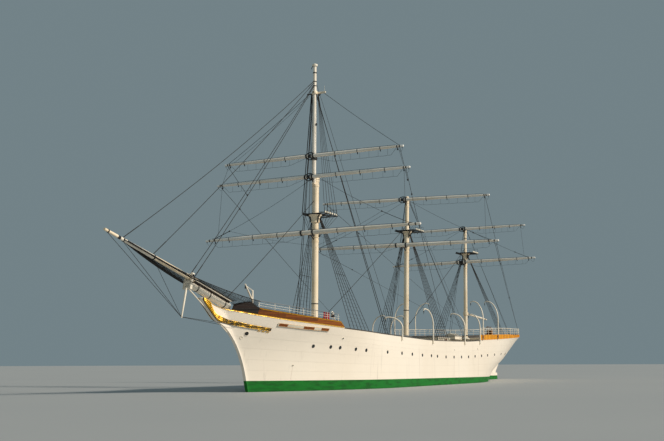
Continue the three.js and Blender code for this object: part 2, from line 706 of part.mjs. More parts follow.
function steeringWheel() {
  const rim = new THREE.TorusGeometry(wheelRadius, 5, 6, 24);
  const hub = drum(13, -7, 7, 12);
  const shaft = drum(shaftRadius, -60, 0, 10);
  const turns = spread(0, Math.PI, spokes / 2).slice(0, -1);
  const arms = turns.map((turn) => bar([-80, 0, 0], [80, 0, 0], [2.5, 2.5], 6).rotateZ(turn + 0.2));
  const wheel = shaped([rim, hub, shaft, ...arms]);
  return wheel.rotateY(Math.PI / 2).translate(wheelX, 0, wheelHeight);
}

function wheelBox() {
  const length = 90;
  const low = edgeGap + sheerAt(wheelX - 30 - length);
  const box = boxAt(wheelX - 30 - length / 2, 0, low, length, 70, wheelHeight + 18 - low);
  const bore = drum(shaftRadius + 1, -80, 0, 12).rotateY(Math.PI / 2).translate(wheelX, 0, wheelHeight);
  return shaped([box], [bore]);
}
place('steering_wheel', steeringWheel(), 'wood');
place('steering_box', wheelBox(), 'wood');

export default ship;
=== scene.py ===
import bmesh
import bpy
from itertools import product
from math import cos, hypot, pi, radians, sin
from mathutils import Matrix, Vector


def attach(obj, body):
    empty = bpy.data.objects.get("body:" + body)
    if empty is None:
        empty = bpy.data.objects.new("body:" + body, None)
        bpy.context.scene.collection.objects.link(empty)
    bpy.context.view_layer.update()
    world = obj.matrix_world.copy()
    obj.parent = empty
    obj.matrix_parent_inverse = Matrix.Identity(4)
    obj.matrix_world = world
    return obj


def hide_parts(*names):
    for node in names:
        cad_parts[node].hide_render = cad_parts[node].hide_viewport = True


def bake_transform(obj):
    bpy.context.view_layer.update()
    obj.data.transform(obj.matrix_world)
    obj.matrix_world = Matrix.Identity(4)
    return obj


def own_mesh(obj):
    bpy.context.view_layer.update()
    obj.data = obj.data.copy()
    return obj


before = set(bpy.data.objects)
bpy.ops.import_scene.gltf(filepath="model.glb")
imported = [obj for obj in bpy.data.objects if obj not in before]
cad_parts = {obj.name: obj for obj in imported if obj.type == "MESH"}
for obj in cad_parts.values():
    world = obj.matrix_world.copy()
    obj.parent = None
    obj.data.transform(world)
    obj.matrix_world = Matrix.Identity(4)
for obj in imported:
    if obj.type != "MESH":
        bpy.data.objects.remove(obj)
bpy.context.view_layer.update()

# Lengths are model millimetres, 100 for each metre of the real ship: +X bow, +Y port, +Z up.
toMetres = 0.001
sideOf = {"port": 1, "starboard": -1}


# camera, light and floor

eye = {
    "lens": 52.975,
    "sensor": 36,
    "place": (10698.2, 4537.8, 249.8),
    "ahead": (-0.88033, -0.45202, 0.14387),
    "up": (0.12663, 0.06836, 0.98959),
}


def makeCamera():
    lens = bpy.data.cameras.new("photoCamera")
    lens.lens = eye["lens"]
    lens.sensor_width = eye["sensor"]
    lens.clip_end = 400
    back = -Vector(eye["ahead"]).normalized()
    right = Vector(eye["up"]).cross(back).normalized()
    turned = Matrix((right, back.cross(right), back)).transposed().to_4x4()
    camera = bpy.data.objects.new("photoCamera", lens)
    camera.matrix_world = Matrix.Translation(Vector(eye["place"]) * toMetres) @ turned
    bpy.context.scene.collection.objects.link(camera)
    bpy.context.scene.camera = camera


studio = {
    "sunFrom": (-0.10, 0.90, 0.56),
    "sunPower": 3.5,
    "sunSpread": 7,
    "sunColour": (1.0, 0.90, 0.78),
    "sky": (0.50, 0.66, 0.72),
    "skyPower": 0.34,
    "exposure": 0.0,
}


def makeLight():
    sun = bpy.data.lights.new("softSun", "SUN")
    sun.energy = studio["sunPower"]
    sun.angle = radians(studio["sunSpread"])
    sun.color = studio["sunColour"]
    lamp = bpy.data.objects.new("softSun", sun)
    lamp.rotation_euler = Vector(studio["sunFrom"]).to_track_quat("Z", "Y").to_euler()
    bpy.context.scene.collection.objects.link(lamp)
    world = bpy.data.worlds.new("studioSky")
    world.use_nodes = True
    sky = world.node_tree.nodes["Background"]
    sky.inputs["Color"].default_value = (*studio["sky"], 1)
    sky.inputs["Strength"].default_value = studio["skyPower"]
    bpy.context.scene.world = world
    bpy.context.scene.view_settings.view_transform = "Standard"
    bpy.context.scene.view_settings.exposure = studio["exposure"]


# finishes: shader maths written as Python

class Wire:
    # one socket of a finish; sums with it add Math nodes, whichever side it stands on
    def __init__(self, finish, socket):
        self.finish = finish
        self.socket = socket

    def maths(self, operation, *values):
        return self.finish.node("ShaderNodeMath", {"operation": operation}, dict(enumerate(values)))

    def __add__(self, other):
        return self.maths("ADD", self, other)

    def __radd__(self, other):
        return self.maths("ADD", other, self)

    def __sub__(self, other):
        return self.maths("SUBTRACT", self, other)

    def __rsub__(self, other):
        return self.maths("SUBTRACT", other, self)

    def __mul__(self, other):
        return self.maths("MULTIPLY", self, other)

    def __rmul__(self, other):
        return self.maths("MULTIPLY", other, self)

    def __truediv__(self, other):
        return self.maths("DIVIDE", self, other)

    def atMost(self, limit):
        return self.maths("MINIMUM", self, limit)

    def atLeast(self, limit):
        return self.maths("MAXIMUM", self, limit)

    def size(self):
        return self.maths("ABSOLUTE", self)

    def share(self):
        return self.maths("FRACT", self)

    def whole(self):
        return self.maths("FLOOR", self)

    def wave(self):
        return self.maths("SINE", self)

    def rise(self, low, high):
        # 0 below low, 1 above high, smooth between
        ends = {"Value": self, "From Min": low, "From Max": high}
        return self.finish.node("ShaderNodeMapRange", {"interpolation_type": "SMOOTHSTEP"}, ends)

    def near(self, middle, width):
        # 1 at the middle, 0 a width away
        return 1 - ((self - middle).size() / width).atMost(1)


class Finish:
    def __init__(self, name):
        self.material = bpy.data.materials.new(name)
        self.material.use_nodes = True
        self.tree = self.material.node_tree
        self.place = self.node("ShaderNodeTexCoord", out="Object")
        parts = self.node("ShaderNodeSeparateXYZ", values={"Vector": self.place}).socket.node
        self.x = Wire(self, parts.outputs["X"])
        self.y = Wire(self, parts.outputs["Y"])
        self.z = Wire(self, parts.outputs["Z"])

    def node(self, kind, settings=None, values=None, out=0):
        made = self.tree.nodes.new(kind)
        for key, value in (settings or {}).items():
            setattr(made, key, value)
        for key, value in (values or {}).items():
            if isinstance(value, Wire):
                self.tree.links.new(value.socket, made.inputs[key])
            else:
                made.inputs[key].default_value = value
        return Wire(self, made.outputs[out])

    def stretched(self, stretch):
        return self.node("ShaderNodeVectorMath", {"operation": "MULTIPLY"}, {0: self.place, 1: stretch})

    def noise(self, scale, detail=3, stretch=(1, 1, 1), rough=0.5):
        asked = {"Vector": self.stretched(stretch), "Scale": scale, "Detail": detail, "Roughness": rough}
        return self.node("ShaderNodeTexNoise", values=asked)

    def mix(self, factor, low, high):
        asked = {0: factor, 6: tinted(low), 7: tinted(high)}
        return self.node("ShaderNodeMix", {"data_type": "RGBA"}, asked, out=2)

    def bump(self, height, depth, strength=1.0):
        return self.node("ShaderNodeBump", values={"Height": height, "Distance": depth, "Strength": strength})

    def done(self, **sockets):
        # each socket by its short name, as a value, a "#rrggbb" tint or a Wire
        shader = self.tree.nodes["Principled BSDF"]
        for word, value in sockets.items():
            socket = shader.inputs[socketNames[word]]
            if isinstance(value, Wire):
                self.tree.links.new(value.socket, socket)
            else:
                socket.default_value = tinted(value)
        return self.material


socketNames = {
    "tint": "Base Color", "rough": "Roughness", "metal": "Metallic", "normal": "Normal",
    "coat": "Coat Weight", "coatRough": "Coat Roughness", "glow": "Emission Color",
    "glowPower": "Emission Strength",
}


def colour(code):
    # "#rrggbb" as the shader's linear values
    parts = [int(code[k:k + 2], 16) / 255 for k in (1, 3, 5)]
    return (*[p / 12.92 if p <= 0.04045 else ((p + 0.055) / 1.055) ** 2.4 for p in parts], 1)


def tinted(value):
    return colour(value) if isinstance(value, str) else value


hullLook = {
    "white": "#f2e9da", "shade": "#e6dac8", "green": "#006e1c", "greenDark": "#005614", "weed": "#0c2a10",
    "rust": "#8a5a34", "soot": "#6f675b",
    # metres: upper edge of the green at both ends of the waterline, where that begins and its length
    "bootStern": 0.056, "bootBow": 0.096, "sternPost": -3.36, "waterLength": 6.83,
    # the sheer amidships, where it is lowest, and its rise towards bow and stern
    "sheerLow": 0.494, "lowest": 0.5, "bowRise": 0.0165, "sternRise": 0.0074,
    "strakes": 7, "strakeStep": 0.0008, "plate": 0.62, "plateShift": 0.27, "buttDip": 0.0006, "buckle": 0.004,
}


def hullPaint():
    f = Finish("hullPaint")
    look = hullLook
    # the sheer, near enough, so that the strakes follow it
    ahead = (f.x - look["lowest"]).atLeast(0)
    behind = (look["lowest"] - f.x).atLeast(0)
    sheer = look["sheerLow"] + ahead * ahead * look["bowRise"] + behind * behind * look["sternRise"]
    row = f.z / sheer * look["strakes"]
    lap = row.share().rise(0.0, 0.05) - row.share()
    butt = ((f.x + row.whole() * look["plateShift"]) / look["plate"]).share().near(0.5, 0.004)
    waves = f.noise(3.2, 2, (1, 1, 2.2))
    dents = lap * look["strakeStep"] - butt * look["buttDip"] + waves * look["buckle"]
    broad = f.noise(1.3, 3, (1, 1, 0.35))
    streaks = f.noise(26, 4, (1, 1, 0.05)).rise(0.58, 0.86)
    low = 1 - (f.z / sheer).rise(0.0, 1.0)
    white = f.mix(broad.rise(0.35, 0.75) * 0.55, look["white"], look["shade"])
    white = f.mix(streaks * (0.12 + low * 0.22), white, look["soot"])
    white = f.mix(lap.near(0.98, 0.12) * 0.04, white, look["soot"])
    for x, top, bottom, width, depth in streakTable:
        streak = f.x.near(x, width) * (f.z.rise(bottom - 0.01, bottom + 0.01) - f.z.rise(top - 0.02, top))
        white = f.mix(streak * depth, white, look["rust"])
    share = (f.x - look["sternPost"]) / look["waterLength"]
    boot = look["bootStern"] + share * (look["bootBow"] - look["bootStern"])
    green = f.mix(f.noise(9, 4, (1, 1, 4)).rise(0.4, 0.7), look["green"], look["greenDark"])
    green = f.mix(1 - f.z.rise(-0.02, 0.012), green, look["weed"])
    edge = (boot - f.z).rise(-0.0008, 0.0008)
    patch = f.noise(40, 3, (1, 1, 3)).rise(0.45, 0.7)
    return f.done(tint=f.mix(edge, white, green), rough=0.36 + patch * 0.10 + edge * 0.54,
                  normal=f.bump(dents, 1.0, 0.6))


# Runs of dirt down the plating, in metres: x, top, bottom, half width, depth
streakTable = [
    (3.10, 0.22, 0.10, 0.004, 0.3), (1.02, 0.42, 0.10, 0.004, 0.35), (-0.04, 0.30, 0.06, 0.004, 0.5),
    (-0.9, 0.46, 0.08, 0.005, 0.35), (2.1, 0.36, 0.2, 0.003, 0.2), (-2.0, 0.52, 0.2, 0.004, 0.25),
]


def paintCoat(name, fresh, worn, rough=0.4, dirt="#5b5348", dirtShare=0.25, scale=18):
    # brushed paint: broad fading, fine brush marks and a little dirt
    f = Finish(name)
    fade = f.noise(scale * 0.3, 3)
    marks = f.noise(scale * 9, 3, (1, 1, 0.3))
    spots = f.noise(scale * 2.2, 5, rough=0.7).rise(0.6, 0.82)
    tint = f.mix(fade.rise(0.35, 0.7), fresh, worn)
    tint = f.mix(spots * dirtShare, tint, dirt)
    relief = marks * 0.0006 + spots * 0.0003
    return f.done(tint=tint, rough=rough + marks * 0.18, normal=f.bump(relief, 1.0, 0.5))


def planked(name, light, dark, seam, along, across, width, length, rough=0.5, coat=0.0):
    # boards with caulked seams and butts, laid along one axis and side by side along another
    f = Finish(name)
    runs = {"x": f.x, "y": f.y, "z": f.z}
    row = runs[across] / width
    board = row.whole()
    place = runs[along] / length + (board * 0.377).share()
    butt = place.share()
    # a shade of its own for every board, scattered by a fast sine of its numbers
    own = ((board * 12.9898 + place.whole() * 4.137).wave() * 43.17).share()
    stretch = [9.0, 9.0, 9.0]
    stretch["xyz".index(along)] = 0.7
    grain = f.noise(14, 5, tuple(stretch), 0.6)
    gaps = row.share().near(0.0, 0.07).atLeast(row.share().near(1.0, 0.07)).atLeast(butt.near(0.0, 0.006))
    wood = f.mix((grain * 0.65 + own * 0.35).rise(0.25, 0.75), dark, light)
    tint = f.mix(gaps.rise(0.1, 0.6), wood, seam)
    relief = f.bump(grain * 0.0005 - gaps.rise(0.1, 0.6) * 0.0012, 1.0, 0.7)
    return f.done(tint=tint, rough=rough + grain * 0.2, coat=coat, coatRough=0.2, normal=relief)


def ropeLay(name, tint, dark, turns=420, rough=0.8):
    # slanting strands of a laid rope
    f = Finish(name)
    lay = ((f.x + f.y + f.z) * turns).share().near(0.5, 0.5)
    fluff = f.noise(90, 3)
    return f.done(tint=f.mix(lay * 0.6 + fluff * 0.4, dark, tint), rough=rough,
                  normal=f.bump(lay * 0.0006, 1.0, 0.6))


def goldLeaf():
    f = Finish("goldLeaf")
    worn = f.noise(30, 4).rise(0.45, 0.75)
    hollow = f.noise(85, 2)
    tint = f.mix(worn, "#eab824", "#a87418")
    return f.done(tint=tint, rough=0.32 + worn * 0.2, metal=0.35, normal=f.bump(hollow * 0.002, 1.0, 0.4))


def ironwork(name, tint, worn, rough=0.5, metal=0.0):
    f = Finish(name)
    pits = f.noise(60, 4)
    rubbed = f.noise(12, 5, rough=0.7).rise(0.6, 0.8)
    return f.done(tint=f.mix(rubbed, tint, worn), rough=rough + pits * 0.15, metal=metal,
                  normal=f.bump(pits * 0.0008, 1.0, 0.5))


def windowGlass():
    f = Finish("windowGlass")
    film = f.noise(14, 3)
    return f.done(tint=f.mix(film, "#10181c", "#2a3438"), rough=0.06 + film * 0.12, coat=0.6)


def canvasCloth():
    f = Finish("canvasCloth")
    weave = (f.x * 700).share().near(0.5, 0.5) * (f.y * 700).share().near(0.5, 0.5)
    stain = f.noise(6, 4)
    return f.done(tint=f.mix(stain.rise(0.3, 0.7), "#8f8b7e", "#6d6a60"), rough=0.85,
                  normal=f.bump(weave * 0.0005 + stain * 0.003, 1.0, 0.6))


def studioFloor():
    f = Finish("studioFloor")
    cloud = f.noise(0.35, 3)
    return f.done(tint=f.mix(cloud, "#a1a5a7", "#aaadad"), rough=0.7)


finishes = {
    "hull": hullPaint(),
    "white": paintCoat("whitePaint", "#f4ecdc", "#e4dac6", 0.35),
    # the mast paint is a warmer copy of the spar paint below it: painted shade, the warm tone that shade and
    # haze give the lower masts
    "shadeWarmCream": paintCoat("mastPaintShadeWarm", "#fbecd2", "#eedab8", 0.38, "#7a6a54", 0.2, 12),
    "spar": paintCoat("sparPaint", "#fbf3e6", "#ece1ce", 0.38, "#7a6a54", 0.2, 12),
    "bright": paintCoat("freshWhite", "#fffcf4", "#f4ece0", 0.34, "#7a6a54", 0.1, 12),
    "black": paintCoat("blackPaint", "#16181a", "#26282a", 0.42, "#4c453c", 0.2),
    "grey": paintCoat("deckGrey", "#7d8285", "#666b6e", 0.5),
    "railing": paintCoat("railGrey", "#4e4b47", "#37332f", 0.5),
    "house": paintCoat("housePaint", "#ece5d2", "#d9d0bb", 0.4),
    "red": paintCoat("redPaint", "#a8142a", "#8a1526", 0.4),
    "greenLamp": paintCoat("greenPaint", "#12703c", "#0f5a31", 0.4),
    "iron": ironwork("darkIron", "#1d1c1c", "#3d2f26"),
    "brass": ironwork("agedBrass", "#a9853f", "#6d5a35", 0.3, 0.9),
    "teak": planked("oiledTeak", "#8c4a00", "#5c2e00", "#2e1600", "x", "z", 0.022, 0.55, 0.75, 0.0),
    # the next is teak painted nearly black: painted shade, used at the forecastle band's bow end and beside
    # the bowsprit
    "paintedShadeWood": planked("teakPaintedShade", "#241004", "#130802", "#0a0502", "x", "z", 0.022, 0.55, 0.55, 0.05),
    "varnish": planked("varnishedPine", "#f4ac16", "#d08a0c", "#7a4c08", "z", "x", 0.030, 2.0, 0.4, 0.15),
    "deck": planked("deckPlanks", "#b9a888", "#968467", "#2c2722", "x", "y", 0.0135, 0.62, 0.6),
    "hatchWood": planked("hatchBoards", "#9b7a50", "#7b5c38", "#3a2a1a", "y", "x", 0.03, 2.0, 0.55),
    "wire": ropeLay("tarredWire", "#26231f", "#0d0c0b"),
    "gold": goldLeaf(),
    "glass": windowGlass(),
    "canvas": canvasCloth(),
    "floor": studioFloor(),
}
print("finishes:", len(finishes))


# one builder for every piece

def run(start, end, count):
    return [start + (end - start) * k / count for k in range(count + 1)]


def circle(sides):
    return [(cos(2 * pi * j / sides), sin(2 * pi * j / sides)) for j in range(sides)]


class Shape:
    # gathers the faces of one piece in model millimetres
    def __init__(self):
        self.points = []
        self.faces = []
        self.looks = []
        self.used = []

    def add(self, points, faces, look):
        if look not in self.used:
            self.used.append(look)
        first = len(self.points)
        self.points += [tuple(point) for point in points]
        self.faces += [[first + k for k in face] for face in faces]
        self.looks += [self.used.index(look)] * len(faces)

    def skin(self, rings, look, closed=True, caps=True):
        # surface over rings of equally many points
        count = len(rings[0])
        last = count if closed else count - 1
        faces = []
        for i in range(len(rings) - 1):
            for j in range(last):
                a, b = i * count + j, i * count + (j + 1) % count
                faces.append((a, b, b + count, a + count))
        if caps:
            end = (len(rings) - 1) * count
            faces.append(tuple(range(count))[::-1])
            faces.append(tuple(end + j for j in range(count)))
        self.add([point for ring in rings for point in ring], faces, look)

    def tube(self, route, radius, look="wire", sides=6):
        route = [Vector(point) for point in route]
        last = len(route) - 1
        radii = radius if isinstance(radius, list) else [radius] * (last + 1)
        side = None
        rings = []
        for k, place in enumerate(route):
            ahead = (route[min(k + 1, last)] - route[max(k - 1, 0)]).normalized()
            side = ahead.orthogonal() if side is None else side - ahead * side.dot(ahead)
            side.normalize()
            other = ahead.cross(side)
            rings.append([place + (side * u + other * v) * radii[k] for u, v in circle(sides)])
        self.skin(rings, look)

    def lathe(self, foot, axis, rows, look, sides=24):
        # rows of distance along the axis and radius
        foot = Vector(foot)
        axis = Vector(axis).normalized()
        side = axis.orthogonal().normalized()
        other = axis.cross(side)
        rings = [[foot + axis * h + (side * u + other * v) * max(r, 0.01) for u, v in circle(sides)]
                 for h, r in rows]
        self.skin(rings, look)

    def ring(self, centre, axis, radius, thick, look, sides=20, section=8):
        axis = Vector(axis).normalized()
        side = axis.orthogonal().normalized()
        other = axis.cross(side)
        rings = []
        for u, v in circle(sides):
            out = side * u + other * v
            rings.append([Vector(centre) + out * (radius + thick * a) + axis * thick * b
                          for a, b in circle(section)])
        self.skin(rings + [rings[0]], look, caps=False)

    def block(self, centre, size, look, chamfer=1.0, turn=None):
        # chamfered box; turn is a matrix about its centre
        half = [s / 2 for s in size]
        cut = min(chamfer, min(half) * 0.45)
        corners = list(product((-1, 1), repeat=3))
        points = []
        index = {}
        for corner in corners:
            for flat in range(3):
                index[(*corner, flat)] = len(points)
                spot = [s * (half[k] - (0 if k == flat else cut)) for k, s in enumerate(corner)]
                points.append(Vector(spot))

        def at(axis, s, a, b, flat):
            # point of the corner that is s along an axis and a, b along the other two
            key = [a, b]
            key.insert(axis, s)
            return index[(*key, flat)]

        faces = []
        for axis in range(3):
            u, v = [k for k in range(3) if k != axis]
            for s in (-1, 1):
                faces.append([at(axis, s, a, b, axis) for a, b in ((-1, -1), (1, -1), (1, 1), (-1, 1))])
            for a, b in product((-1, 1), repeat=2):
                faces.append([at(axis, s, a, b, flat) for s, flat in ((-1, u), (-1, v), (1, v), (1, u))])
        faces += [[index[(*corner, flat)] for flat in range(3)] for corner in corners]
        centre = Vector(centre)
        self.add([centre + (turn @ point if turn else point) for point in points], faces, look)

    def plate(self, outline, depth, look):
        # outline is a loop of points, depth a vector to its other face
        count = len(outline)
        outline = [Vector(point) for point in outline]
        points = outline + [point + Vector(depth) for point in outline]
        faces = [tuple(range(count)), tuple(range(2 * count - 1, count - 1, -1))]
        faces += [(k, (k + 1) % count, count + (k + 1) % count, count + k) for k in range(count)]
        self.add(points, faces, look)

    def make(self, name, crease=35):
        mesh = bpy.data.meshes.new(name)
        mesh.from_pydata([Vector(point) * toMetres for point in self.points], [], self.faces)
        for look in self.used:
            mesh.materials.append(finishes[look])
        mesh.polygons.foreach_set("material_index", self.looks)
        work = bmesh.new()
        work.from_mesh(mesh)
        bmesh.ops.remove_doubles(work, verts=work.verts, dist=0.00002)
        bmesh.ops.recalc_face_normals(work, faces=work.faces)
        work.to_mesh(mesh)
        work.free()
        mesh.shade_smooth()
        mesh.set_sharp_from_angle(angle=radians(crease))
        piece = bpy.data.objects.new(name, mesh)
        bpy.context.scene.collection.objects.link(piece)
        return piece


def setOut(shape, name, body, replaced=(), crease=35):
    piece = shape.make(name, crease)
    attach(piece, body)
    if replaced:
        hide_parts(*replaced)
    return piece


# lines of the hull

# rabbet: where the plating ends ahead at half the sheer's height, and how much further for each level
hull = {
    "draught": 550, "keelHalf": 14, "cutwater": 26, "rabbet": (3612, 522),
    "poopBreak": -1030, "forecastleBreak": 2640, "bulwark": 122,
    "beakFoot": (3540, 220), "beakTop": 770, "beakTip": 4176, "beakHeel": 3700,
}
# Top edge of the hull: x, z
sheerLine = [
    (-3840, 630), (-3237, 604), (-2466, 572), (-1888, 549), (-1044, 520), (-500, 503), (568, 495),
    (1486, 519), (2050, 538), (2650, 568), (3000, 592), (3287, 617), (3550, 648), (3732, 675),
    (3801, 687), (3873, 699), (3964, 714), (4028, 730), (4087, 754), (4180, 773),
]
# Stem, forefoot and beak: z, x
stemLine = [
    (-550, 2450), (-520, 2750), (-450, 2990), (-300, 3230), (-150, 3390), (0, 3470), (174, 3529),
    (295, 3588), (397, 3662), (489, 3758), (550, 3852), (592, 3959), (663, 4064), (748, 4168), (790, 4190),
]
# Sternpost and counter: z, x
sternLine = [
    (-550, -3290), (0, -3360), (105, -3378), (163, -3450), (236, -3540), (360, -3640),
    (435, -3735), (520, -3792), (600, -3828), (660, -3840),
]
# Waterlines: level, half breadth, where the bow begins, its two powers, where the stern begins, its powers
levelTable = [
    (-1, 0, 900, 1.6, 1.4, -300, 1.7, 3.5), (-0.97, 130, 920, 1.6, 1.4, -300, 1.7, 3.4),
    (-0.92, 300, 950, 1.6, 1.36, -300, 1.75, 3.3), (-0.85, 425, 1000, 1.65, 1.3, -300, 1.8, 3.2),
    (-0.72, 520, 1100, 1.7, 1.2, -340, 1.95, 3.0), (-0.5, 575, 1260, 1.8, 1.1, -400, 2.1, 2.75),
    (-0.25, 594, 1430, 1.85, 1.04, -460, 2.3, 2.5), (0, 598, 1570, 1.9, 1.0, -540, 2.4, 2.3),
    (0.25, 600, 1640, 1.9, 1.0, -620, 2.4, 1.8), (0.5, 600, 1710, 1.9, 1.0, -700, 2.35, 1.02),
    (0.75, 598, 1850, 1.9, 0.99, -770, 2.25, 0.66), (1, 592, 2060, 1.95, 0.98, -840, 2.03, 0.334),
]


def along(table, place, column=1):
    # smooth value of a table's column at a place along its first one
    last = len(table) - 1
    t = min(max(place, table[0][0]), table[last][0])
    k = 0
    while k < last - 1 and t > table[k + 1][0]:
        k += 1

    def slope(i):
        a = table[max(i - 1, 0)]
        b = table[min(i + 1, last)]
        return (b[column] - a[column]) / (b[0] - a[0])

    span = table[k + 1][0] - table[k][0]
    u = (t - table[k][0]) / span
    h = u * u * (3 - 2 * u)
    bend = span * u * (1 - u) * ((1 - u) * slope(k) - u * slope(k + 1))
    return table[k][column] * (1 - h) + table[k + 1][column] * h + bend


def lifted(height):
    return Vector((0, 0, height))


def straight(table, place):
    # value between the rows of a table, in straight lines
    for (a, low), (b, high) in zip(table, table[1:]):
        if place <= b:
            return low + (high - low) * (max(place, a) - a) / (b - a)
    return table[-1][1]


def sheerAt(x):
    return along(sheerLine, x)


def deckAt(x):
    return sheerAt(x) - hull["bulwark"]


def heightOf(level, x):
    return level * (sheerAt(x) if level > 0 else hull["draught"])


def bowEnd(level, z):
    stem = along(stemLine, z)
    start, rake = hull["rabbet"]
    return min(stem, start + rake * (level - 0.5)) if level > 0.5 else stem


def breadthAt(level, x, z):
    first = 2 if x > 0 else 5
    start = along(levelTable, level, first)
    end = bowEnd(level, z) if x > 0 else along(sternLine, z)
    reach = min(max((x - start) / (end - start), 0), 1)
    powers = along(levelTable, level, first + 1), along(levelTable, level, first + 2)
    plating = along(levelTable, level, 1) * (1 - reach ** powers[0]) ** powers[1]
    return (plating ** 3 + hull["keelHalf"] ** 3) ** (1 / 3)


def hullBreadth(x, z):
    return breadthAt(z / (sheerAt(x) if z > 0 else hull["draught"]), x, z)


def onSide(side, x, z, outward=0):
    # point on the plating, moved outwards in plan
    slope = (hullBreadth(x + 4, z) - hullBreadth(x - 4, z)) / 8
    length = hypot(1, slope)
    return Vector((x - slope / length * outward, side * (hullBreadth(x, z) + outward / length), z))


def outOf(side, x, z):
    # level direction out of the plating
    return (onSide(side, x, z, 10) - onSide(side, x, z, 0)).normalized()


def squareOut(side, x, z):
    # direction straight out of the plating, flare and all
    fore = onSide(side, x + 4, z) - onSide(side, x - 4, z)
    up = onSide(side, x, z + 4) - onSide(side, x, z - 4)
    return (up.cross(fore) * side).normalized()


# plating and decks

plating = {
    "under": [-1, -0.985, -0.97, -0.945, -0.92, -0.885, -0.85, -0.79, -0.72, -0.62, -0.5, -0.38, -0.25,
              -0.12, 0],
    "side": 12, "bulwarkRows": 4, "sternColumns": 40, "middleColumns": 40, "bowColumns": 46,
    # place and level depend on each other, and settle in so many rounds
    "rounds": 14,
}


def hullPoint(zone, share, row):
    # zone 0 stern, 1 middle, 2 bow; rows count up from the keel
    under = plating["under"]
    x = 0.0
    level = -1.0
    for _ in range(plating["rounds"]):
        deckLevel = 1 - hull["bulwark"] / sheerAt(x)
        above = row - len(under) + 1
        if above <= 0:
            level = under[row]
        elif above <= plating["side"]:
            level = deckLevel * above / plating["side"]
        else:
            level = deckLevel + (1 - deckLevel) * (above - plating["side"]) / plating["bulwarkRows"]
        z = heightOf(level, x)
        ends = (along(sternLine, z), hull["poopBreak"], hull["forecastleBreak"], bowEnd(level, z))
        x = ends[zone] + (ends[zone + 1] - ends[zone]) * share
    return x, breadthAt(level, x, z), z


def makeHull():
    shape = Shape()
    deckRow = len(plating["under"]) - 1 + plating["side"]
    topRow = deckRow + plating["bulwarkRows"]
    sternShares = [1 - cos(pi / 2 * s) for s in run(0, 1, plating["sternColumns"])]
    bowShares = [sin(pi / 2 * s) for s in run(0, 1, plating["bowColumns"])]
    middleShares = run(0, 1, plating["middleColumns"])

    def sheet(lines, look, sides=(1, -1)):
        # open surface between lines of hull points and their mirror images
        rings = [[(x, side * b, z) for x, b, z in line] for line in lines for side in sides]
        shape.skin(rings, look, closed=False, caps=False)

    for zone, shares, last in [(0, sternShares, topRow), (1, middleShares, deckRow), (2, bowShares, topRow)]:
        grid = [[hullPoint(zone, share, row) for share in shares] for row in range(last + 1)]
        for side in (1, -1):
            sheet(grid, "hull", (side,))
        sheet([grid[0]], "hull")
        if zone != 1:
            outer, inner = (0, -1) if zone == 0 else (-1, 0)
            sheet([[line[outer] for line in grid]], "hull")
            sheet([[line[inner] for line in grid[deckRow:]]], "house")
        sheet([grid[last]], "deck", (1, 0, -1))
    front = [(along(stemLine, z), z) for z in run(hull["beakFoot"][1], hull["beakTop"], 40)]
    back = [(x, sheerAt(x)) for x in run(hull["beakTip"], hull["beakHeel"], 8)]
    outline = [hull["beakFoot"]] + front + back
    half = hull["cutwater"] / 2
    shape.plate([(x, -half, z) for x, z in outline], (0, 2 * half, 0), "hull")
    return setOut(shape, "hull_plating", "root", ["hull"], 30)


makeCamera()
makeLight()
makeHull()
print("hull done")


def onBand(side, x, z, out):
    # like onSide, but upright above the sheer at the stern
    if x > 0 or z < sheerAt(x):
        return onSide(side, x, z, out)
    return onSide(side, x, sheerAt(x), out) + lifted(z - sheerAt(x))


def strip(shape, side, stations, rows, look):
    # closed moulding along the hull's side: rows(x) lists height and how far out, round the section
    shape.skin([[onBand(side, x, z, out) for z, out in rows(x)] for x in stations], look)


bulwark = {
    "thick": 10, "capDeep": 9, "capOut": 3.2, "capIn": 18.5, "seam": 0.4,
    "stayEvery": 262, "stayFoot": 42, "stayHead": 6, "stayThick": 3,
    "bar": (-960, 1380), "barHigh": 10, "barRadius": 1.6, "barIn": 4, "barPost": 1.2,
}

# Boat davits: x, height above the foot, reach, heading from inboard towards the bow in degrees
davits = [
    (1475, 220, 170, 30), (617, 362, 170, 76), (-414, 356, 170, 5),
    (-970, 360, 165, -15), (-1102, 467, 170, -10), (-1764, 479, 190, -10),
]
davitLook = {"radius": 7, "outward": 11.5, "socket": 12, "gap": 0.4}


def davitFoot(x):
    return sheerAt(x) + (22 if x < hull["poopBreak"] else -34)


def davitSocket(shape, side, x):
    place = onSide(side, x, sheerAt(x), davitLook["outward"] - 3)
    top = davitFoot(x)
    deep = davitLook["socket"]
    shape.block((place.x, place.y, top - deep / 2), (22, 26, deep), "white", 2)


